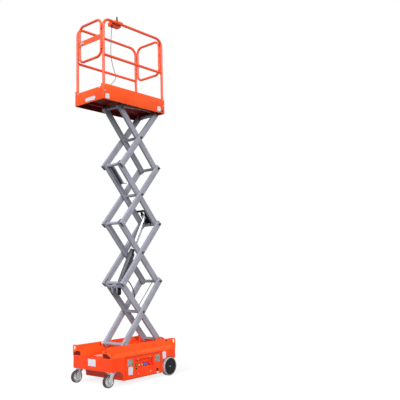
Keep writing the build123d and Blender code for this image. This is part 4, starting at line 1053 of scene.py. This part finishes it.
# Casters: pressed zinc fork on a swivel race, cast rim with five webs, maroon tread
caster = {"x": -0.552, "y": 0.319, "radius": 0.080, "half": 0.022, "round": 0.007, "seat": 0.0661,
          "seatIn": 0.001, "webs": 5, "webThick": 0.030,
          "web": [(0.019, -0.004), (0.058, -0.003), (0.058, 0.003), (0.019, 0.004)], "nut": 0.009,
          "nutOut": 0.032, "swivelX": -0.502, "raceZ": 0.1685,
          "race": [(0, 0.030), (0, 0.040), (0.002, 0.042), (0.006, 0.042), (0.007, 0.040), (0.007, 0.030),
                   (0, 0.030)]}


def casterWheel(s, side, name):
    # rim and tread are spun profiles; the webs are plates repeated round the hub
    r, w, tag = s["radius"], s["half"], name.lower()
    at, axis = np.array([s["x"], side * s["y"], r]), side * yWay
    face = np.array([(w + 0.002, 0.0073), (w + 0.002, 0.019), (w, 0.020), (0.007, 0.022), (0.005, 0.030),
                     (0.005, 0.050), (w - 0.006, 0.057), (w - 0.003, 0.060), (w - 0.003, 0.066)])
    rim = [turned(np.vstack([face * [-1, 1], face[::-1], face[:1] * [-1, 1]]), at, axis, 56)]
    for turn in np.linspace(0, 2 * np.pi, s["webs"], endpoint=False):
        out = np.array([np.cos(turn), 0, np.sin(turn)])
        across = np.cross(yWay, out)
        rim.append(plate(s["web"], at - np.cross(out, across) * s["webThick"] / 2, out, across,
                         s["webThick"]))
    tread = [turned(tyreRing(s), at, axis, 72)]
    makePiece("casterTread" + name, tread, "caster_wheel_" + tag, "maroonPolyurethane",
              ["caster_tyre_" + tag])
    makePiece("casterRim" + name, rim, "caster_wheel_" + tag, "zincPlatedSteel", ["caster_rim_" + tag])
    nuts = [copies(hexBolt(way * yWay, s["nut"]), at + way * s["nutOut"] * yWay) for way in (1, -1)]
    race = turned(s["race"], (s["swivelX"], side * s["y"], s["raceZ"]), zWay, 40)
    makePiece("casterHardware" + name, nuts + [race], "caster_" + tag, "zincPlatedSteel")
    softened("caster_fork_" + tag, "zincPlatedSteel", 0.0015)


for side, name in wheelSides:
    casterWheel(caster, side, name)
softened("caster_mounts", "zincPlatedSteel")
print("wheels made")

# Chassis sheet work, with a wall across the tail, a lacquered sheet on the deck and a pale patch on that as a
# painted highlight
chassis = {"wall": (0.434, 0.112, 0.006, 3), "wallIn": 0.0055, "wallUp": 0.0562, "wallThick": 0.0045,
           "deck": (1.150, 0.424, 0.012, 4), "deckAt": (0.034, 0, lift["deckZ"] + 0.0002),
           "plate": (0.150, 0.220, 0.010, 5), "highlightAt": (-0.372, -0.010, lift["deckZ"] + 0.0013)}
thinSheet = {"thick": 0.0012, "edge": 0.0004}
for node in ("chassis_hull", "chassis_belly", "door_near", "door_far", "ground_panel"):
    softened(node, "orangePowderCoat", 0.002)
# the side beams take the lighter platform coat: painted light on their faces
softened("side_beams", "orangeTrayCoat", 0.002)
softened("pivot_brackets", "orangePowderCoat")
wallSpot = (lift["tailX"] - chassis["wallIn"], 0, lift["deckZ"] + chassis["wallUp"])
tailWall = plate(roundedBox(*chassis["wall"]), wallSpot, yWay, zWay, chassis["wallThick"])
makePiece("tailWall", [tailWall], "chassis", "orangePowderCoat")
softened("drive_motors", "blackSatinPaint")
softened("power_pack", "dippedCastIron", 0.004)
softened("control_box", "orangeTrayCoat", 0.003)
deck = plate(roundedBox(*chassis["deck"]), chassis["deckAt"], xWay, yWay, **thinSheet)
makePiece("deckSheet", [deck], "chassis", "orangeDeckLacquer")
# a pale patch on the deck: painted highlight
deckHighlight = plate(roundedBox(*chassis["plate"]), chassis["highlightAt"], xWay, yWay, **thinSheet)
makePiece("deckHighlight", [deckHighlight], "chassis", "palePinkPaintedLight")

# Beam ends stopped with dark red sheet a little way in, painted shade in the open ends; each door edged
# with black strip, painted shade of the door gap; pivot access holes filled with black plugs, painted shade
trim = {"section": [(0.2235, 0.3575), (0.3765, 0.3575), (0.3765, 0.3775), (0.3118, 0.4145),
                    (0.2235, 0.4145)], "in": 0.010, "sheet": 0.004,
        "door": (-0.3128, 0.3348, 0.0652, 0.3428), "strip": (0.0040, 0.0016, 0.0006, 2), "stripBend": 0.004,
        "plugZ": 0.466, "plugY": 0.310, "plugR": 0.0108}
stopX = (lift["noseX"] + trim["in"], lift["tailX"] - trim["in"] - trim["sheet"])
# dark red sheets a little inside each open beam end: painted shade
endShadeSheets = [plate(trim["section"], (x, 0, 0), yWay, zWay, trim["sheet"]) for x in stopX]
makePiece("beamEndShades", bothSides(endShadeSheets), "chassis", "darkRedPaintedShade")
x0, x1, z0, z1 = trim["door"]
stripTurns = [(x, lift["sideY"], z) for x, z in ((x0, z0), (x1, z0), (x1, z1), (x0, z1))]
stripPath = roundedPath(stripTurns, trim["stripBend"], 4, True)
strip = swept(stripPath, roundedBox(*trim["strip"]), yWay, True)
# the black strip round each door is painted shade of the door gap
makePiece("doorGapShade", bothSides([strip]), "chassis", "blackMouldedPolymer")
# black plugs in the pivot access holes: painted shade seen through the holes
plugR = trim["plugR"]
plugProfile = [(-0.007, 0), (-0.007, plugR), (0, plugR), (0, plugR + 0.003), (0.0015, plugR + 0.0025),
               (0.003, plugR - 0.002), (0.003, 0)]
plug = turned(plugProfile, (lift["rightX"], trim["plugY"], trim["plugZ"]), yWay, 28)
makePiece("pivotShadePlugs", bothSides([plug]), "chassis", "blackMouldedPolymer")
print("chassis made")

# Control knobs and sockets; a knob's size is its collar, head and reach
panelLean = radians(68.27)
out = np.array([0, -np.sin(panelLean), np.cos(panelLean)])
upFace = np.array([0, np.cos(panelLean), np.sin(panelLean)])
boxTop = 4.894888
stopKnob = {"at": (0.141, -0.35126, 0.21514), "size": (0.016, 0.029, 0.026)}
boxKnob = {"at": (-0.348, -0.2148, boxTop), "size": (0.013, 0.019, 0.024)}
stick = {"at": (-0.259, -0.2148, boxTop), "folds": 13, "boot": 0.058, "wide": 0.021, "taper": 0.009,
         "fold": 0.0018,
         "grip": [(0.058, 0.0105), (0.066, 0.0095), (0.082, 0.0105), (0.092, 0.0108), (0.098, 0.0095),
                  (0.100, 0.006), (0.100, 0)]}
socket = {"at": (0.264, -0.382, 0.117),
          "profile": [(-0.005, 0), (-0.005, 0.0127), (0, 0.0127), (0, 0.019), (0.003, 0.019),
                      (0.0045, 0.0175), (0.0045, 0.014), (0.008, 0.0135), (0.009, 0.012), (0.009, 0.009),
                      (0.004, 0.0085), (0.004, 0)]}


def mushroom(at, axis, collar, head, reach):
    # collar, stem and domed head spun about the button's axis
    bend = np.linspace(0, np.pi / 2, 7)
    dome = np.c_[reach - 0.006 + 0.006 * np.sin(bend), head - 0.004 + 0.004 * np.cos(bend)]
    stem = [(0, 0), (0, collar), (0.004, collar), (0.005, collar - 0.003), (reach - 0.012, collar - 0.003),
            (reach - 0.011, head)]
    top = [(reach, head * 0.55), (reach - 0.0015, head * 0.45), (reach - 0.0015, 0)]
    return turned(np.vstack([stem, dome, top]), at, axis, 40)


def stickProfile(s):
    # a boot that tapers while its radius swings with each fold, then the grip
    share = np.linspace(0, 1, s["folds"])
    swing = s["fold"] * np.cos(np.pi * np.arange(s["folds"]))
    return np.vstack([[(0, 0)], np.c_[s["boot"] * share, s["wide"] - s["taper"] * share + swing], s["grip"]])


groundKnob = mushroom(stopKnob["at"], out, *stopKnob["size"])
makePiece("groundStop", [groundKnob], "chassis", "redGlossPolymer", ["ground_stop"])
platformKnob = mushroom(boxKnob["at"], zWay, *boxKnob["size"])
makePiece("platformStop", [platformKnob], "platform", "redGlossPolymer", ["platform_stop"])
lever = turned(stickProfile(stick), stick["at"], zWay, 32)
makePiece("joystick", [lever], "platform", "blackMouldedPolymer", ["joystick"])
inlet = turned(socket["profile"], socket["at"], -yWay, 36)
makePiece("chargerSocket", [inlet], "chassis", "blackMouldedPolymer", ["charger_socket"])

# Panel buttons: bezel and cap spun about the leaning face's normal, a display behind acrylic, a key lock
panelFace = {"foot": (-0.382, 0.138), "head": (-0.329, 0.271), "row": 0.58,
             "buttons": {"upButton": (-0.100, "greenGlossPolymer"),
                         "downButton": (-0.050, "yellowGlossPolymer"),
                         "armButton": (0.000, "greyGlossPolymer")}, "lockAt": (-0.115, 0.30),
             "stopX": 0.141, "displayX": 0.060, "display": (0.060, 0.030, 0.003, 4), "displayUp": 0.0035,
             "displayThick": 0.0018, "frame": (0.072, 0.042, 0.004, 4), "frameThick": 0.004}


def facePoint(x, share, proud=0.0):
    # a place on the leaning face by its share of the way up
    foot, head = np.array(panelFace["foot"]), np.array(panelFace["head"])
    return np.array([x, *(foot + share * (head - foot))]) + proud * out


bezel = [(0, 0), (0, 0.0160), (0.002, 0.0165), (0.004, 0.0150), (0.004, 0.0126), (0.001, 0.0126), (0.001, 0)]
button = [(0.001, 0), (0.001, 0.0122), (0.008, 0.0122), (0.0095, 0.0110), (0.010, 0.006), (0.010, 0)]
keyLock = [(0, 0), (0, 0.0105), (0.004, 0.0105), (0.005, 0.0095), (0.009, 0.0090), (0.010, 0.0080),
           (0.010, 0.003), (0.008, 0.003), (0.008, 0)]
stopRing = [(0, 0.017), (0, 0.024), (0.001, 0.0245), (0.0015, 0.023), (0.0015, 0.017), (0, 0.017)]
row = panelFace["row"]
for name, (x, finish) in panelFace["buttons"].items():
    makePiece(name, [turned(button, facePoint(x, row), out, 28)], "chassis", finish)
buttonSpots = [facePoint(x, row) for x, finish in panelFace["buttons"].values()]
bezels = [copies(turned(bezel, (0, 0, 0), out, 32), buttonSpots),
          turned(keyLock, facePoint(*panelFace["lockAt"]), out, 24),
          turned(stopRing, facePoint(panelFace["stopX"], row), out, 36)]
displayFrame = plate(roundedBox(*panelFace["frame"]), facePoint(panelFace["displayX"], row), xWay, upFace,
                     panelFace["frameThick"])
makePiece("panelBezels", bezels + [displayFrame], "chassis", "blackMouldedPolymer")
displaySpot = facePoint(panelFace["displayX"], row, panelFace["displayUp"])
display = plate(roundedBox(*panelFace["display"]), displaySpot, xWay, upFace, panelFace["displayThick"])
makePiece("panelDisplay", [display], "chassis", "blueTintedAcrylic")

# Blank plates and labels: thin rounded sheets set on the face
# that carries them (centre along, height, width, tall, corner)
faces = {"near": (-lift["sideY"], xWay), "far": (lift["sideY"], -xWay), "nearTray": (-lift["platY"], xWay),
         "farTray": (lift["platY"], -xWay), "nose": (lift["noseX"], -yWay), "tail": (lift["tailX"], yWay),
         "entry": (lift["leftEnd"], -yWay), "back": (lift["rightEnd"], yWay)}
labels = {"greyPlates": ("greySatinVinyl", [("near", -0.231, 0.2705, 0.094, 0.089, 0.004),
                                            ("near", 0.267, 0.266, 0.094, 0.092, 0.004),
                                            ("far", -0.231, 0.2705, 0.094, 0.089, 0.004),
                                            ("far", 0.267, 0.266, 0.094, 0.092, 0.004)]),
          "chassisLabels": ("whiteSatinVinyl", [("near", -0.2265, 0.1670, 0.076, 0.100, 0.010),
                                                ("near", 0.401, 0.2915, 0.068, 0.098, 0.022),
                                                ("near", 0.268, 0.0795, 0.040, 0.022, 0.003),
                                                ("nose", -0.010, 0.288, 0.152, 0.090, 0.005),
                                                ("far", 0.401, 0.2915, 0.072, 0.111, 0.030),
                                                ("tail", 0.0, 0.288, 0.159, 0.090, 0.005)]),
          "trayLabels": ("whiteSatinVinyl", [("nearTray", -0.517, 3.789, 0.072, 0.070, 0.020),
                                             ("nearTray", 0.4655, 3.796, 0.073, 0.072, 0.020),
                                             ("farTray", -0.517, 3.789, 0.072, 0.070, 0.020),
                                             ("farTray", 0.4655, 3.796, 0.073, 0.072, 0.020),
                                             ("entry", -0.032, 3.787, 0.208, 0.052, 0.0255)])}


def labelSheet(face, centre, z, wide, tall, corner):
    # the sheet stands a hair proud of its face, along the product of its two directions
    at, along = faces[face]
    spot = (centre, at, z) if along[0] else (at, centre, z)
    return plate(roundedBox(wide, tall, corner, 6), spot, along, zWay, **thinSheet)


for name, (finish, sheets) in labels.items():
    body = "platform" if name == "trayLabels" else "chassis"
    makePiece(name, [labelSheet(*one) for one in sheets], body, finish)

# Fasteners: hexagon bolts where posts, loops and boards are held,
# small ones round the panel; each set is a thread and its places
bolts = {"tray": (0.010, [(-0.561, 3.943), (-0.561, 3.854), (0.559, 3.945), (0.559, 3.852)]),
         "post": (0.009, [(0.556, z) for z in lugZ]),
         "panel": (0.006, [(-0.088, 0.298), (0.134, 0.298), (-0.092, 0.115), (0.138, 0.115)]),
         "door": (0.0045, [(-0.300, 0.333), (-0.100, 0.333), (0.120, 0.333), (0.322, 0.333),
                           (-0.300, 0.076), (-0.060, 0.076), (0.200, 0.076), (0.322, 0.076)]),
         "entry": (0.009, [(-0.225, 3.902), (0.225, 3.902)]), "sunk": 0.0006}


def nearBolts(thread, places, y):
    # bolts that face the near side, at (x, z) places on the plane y
    return copies(hexBolt(-yWay, thread), [(x, y, z) for x, z in places])


trayBolts = nearBolts(*bolts["tray"], -lift["platY"])
postBolts = nearBolts(*bolts["post"], -lift["postY"] - lift["railR"] + bolts["sunk"])
entryThread, entryPlaces = bolts["entry"]
entryBolts = copies(hexBolt(-xWay, entryThread), [(lift["leftEnd"], y, z) for y, z in entryPlaces])
makePiece("trayBolts", bothSides([trayBolts, postBolts]) + [entryBolts], "platform", "zincPlatedSteel")
makePiece("doorBolts", bothSides([nearBolts(*bolts["door"], -lift["sideY"])]), "chassis", "orangePowderCoat")
makePiece("panelBolts", [nearBolts(*bolts["panel"], -lift["sideY"])], "chassis", "zincPlatedSteel")
grommet = {"at": (0.532, -lift["platY"], 3.774),
           "profile": [(0, 0), (0, 0.0135), (0.0012, 0.0135), (0.0016, 0.0115), (0.0004, 0.0105),
                       (0.0004, 0)]}
makePiece("trayGrommet", bothSides([turned(grommet["profile"], grommet["at"], -yWay, 28)]), "platform",
          "blackMouldedPolymer")
print("controls made")

# Floor, world and lamps
studio = {"size": 60.0, "lift": 0.82, "albedo": 0.20, "worldTone": "#EEF0F4", "world": 0.40}


def eyeShare(tree):
    # 1 for rays from the camera and those it sends on by mirror or glass, 0 for all others
    ray = addNode(tree, "ShaderNodeLightPath")
    share = ray.outputs["Is Camera Ray"]
    for kind in ("Is Glossy Ray", "Is Transmission Ray"):
        share = addNode(tree, "ShaderNodeMath", None, {0: share, 1: ray.outputs[kind]},
                        operation="MAXIMUM").outputs[0]
    return share


def layFloor(s):
    # a broad flat sheet whose own faint glow adds to the light it
    # catches, so that it reads white and still takes the shadow
    half = s["size"] / 2
    mesh = bpy.data.meshes.new("studioFloor")
    mesh.from_pydata([(-half, -half, 0), (half, -half, 0), (half, half, 0), (-half, half, 0)], [],
                     [[0, 1, 2, 3]])
    floor = bpy.data.objects.new("studioFloor", mesh)
    scene.collection.objects.link(floor)
    material = bpy.data.materials.new("palePaintedFloor")
    material.use_nodes = True
    tree = material.node_tree
    tree.nodes.clear()
    glow = addNode(tree, "ShaderNodeMath", {1: s["lift"]}, {0: eyeShare(tree)}, operation="MULTIPLY")
    emit = addNode(tree, "ShaderNodeEmission", {"Color": (1, 1, 1, 1)}, {"Strength": glow.outputs[0]})
    matt = addNode(tree, "ShaderNodeBsdfDiffuse", {"Color": (s["albedo"],) * 3 + (1,)})
    both = addNode(tree, "ShaderNodeAddShader", None, {0: emit.outputs[0], 1: matt.outputs[0]})
    addNode(tree, "ShaderNodeOutputMaterial", None, {"Surface": both.outputs[0]})
    mesh.materials.append(material)


def lightWorld(s):
    # the camera, mirrors and glass see white, and every other ray sees an even soft sky
    world = bpy.data.worlds.new("softStudio")
    world.use_nodes = True
    tree = world.node_tree
    tree.nodes.clear()
    sky = addNode(tree, "ShaderNodeBackground", {"Color": hexLinear(s["worldTone"]), "Strength": s["world"]})
    white = addNode(tree, "ShaderNodeBackground", {"Color": (1, 1, 1, 1), "Strength": 1.0})
    mix = addNode(tree, "ShaderNodeMixShader", None, {0: eyeShare(tree), 1: sky.outputs[0],
                                                      2: white.outputs[0]})
    addNode(tree, "ShaderNodeOutputWorld", None, {"Surface": mix.outputs[0]})
    scene.world = world


lamps = [{"name": "keyLamp", "aim": (0.40, 0.86, -0.32), "strength": 2.3, "soft": 30, "tone": "#FFFDFA"},
         {"name": "sideLamp", "aim": (0.74, 0.14, -0.66), "strength": 2.5, "soft": 40, "tone": "#F6F8FF"}]


def hangLamp(s):
    # broad sun shining along its aim
    data = bpy.data.lights.new(s["name"], "SUN")
    data.energy, data.angle, data.color = s["strength"], radians(s["soft"]), hexLinear(s["tone"])[:3]
    lamp = bpy.data.objects.new(s["name"], data)
    lamp.rotation_mode = "QUATERNION"
    lamp.rotation_quaternion = Vector(s["aim"]).to_track_quat("-Z", "Y")
    lamp.location = (0, 0, 8)
    scene.collection.objects.link(lamp)


layFloor(studio)
lightWorld(studio)
for lamp in lamps:
    hangLamp(lamp)
print("stage set")

stillShown = [name for name, node in frame["nodes"].items() if not node.hide_render]
print("solids still shown:", stillShown)
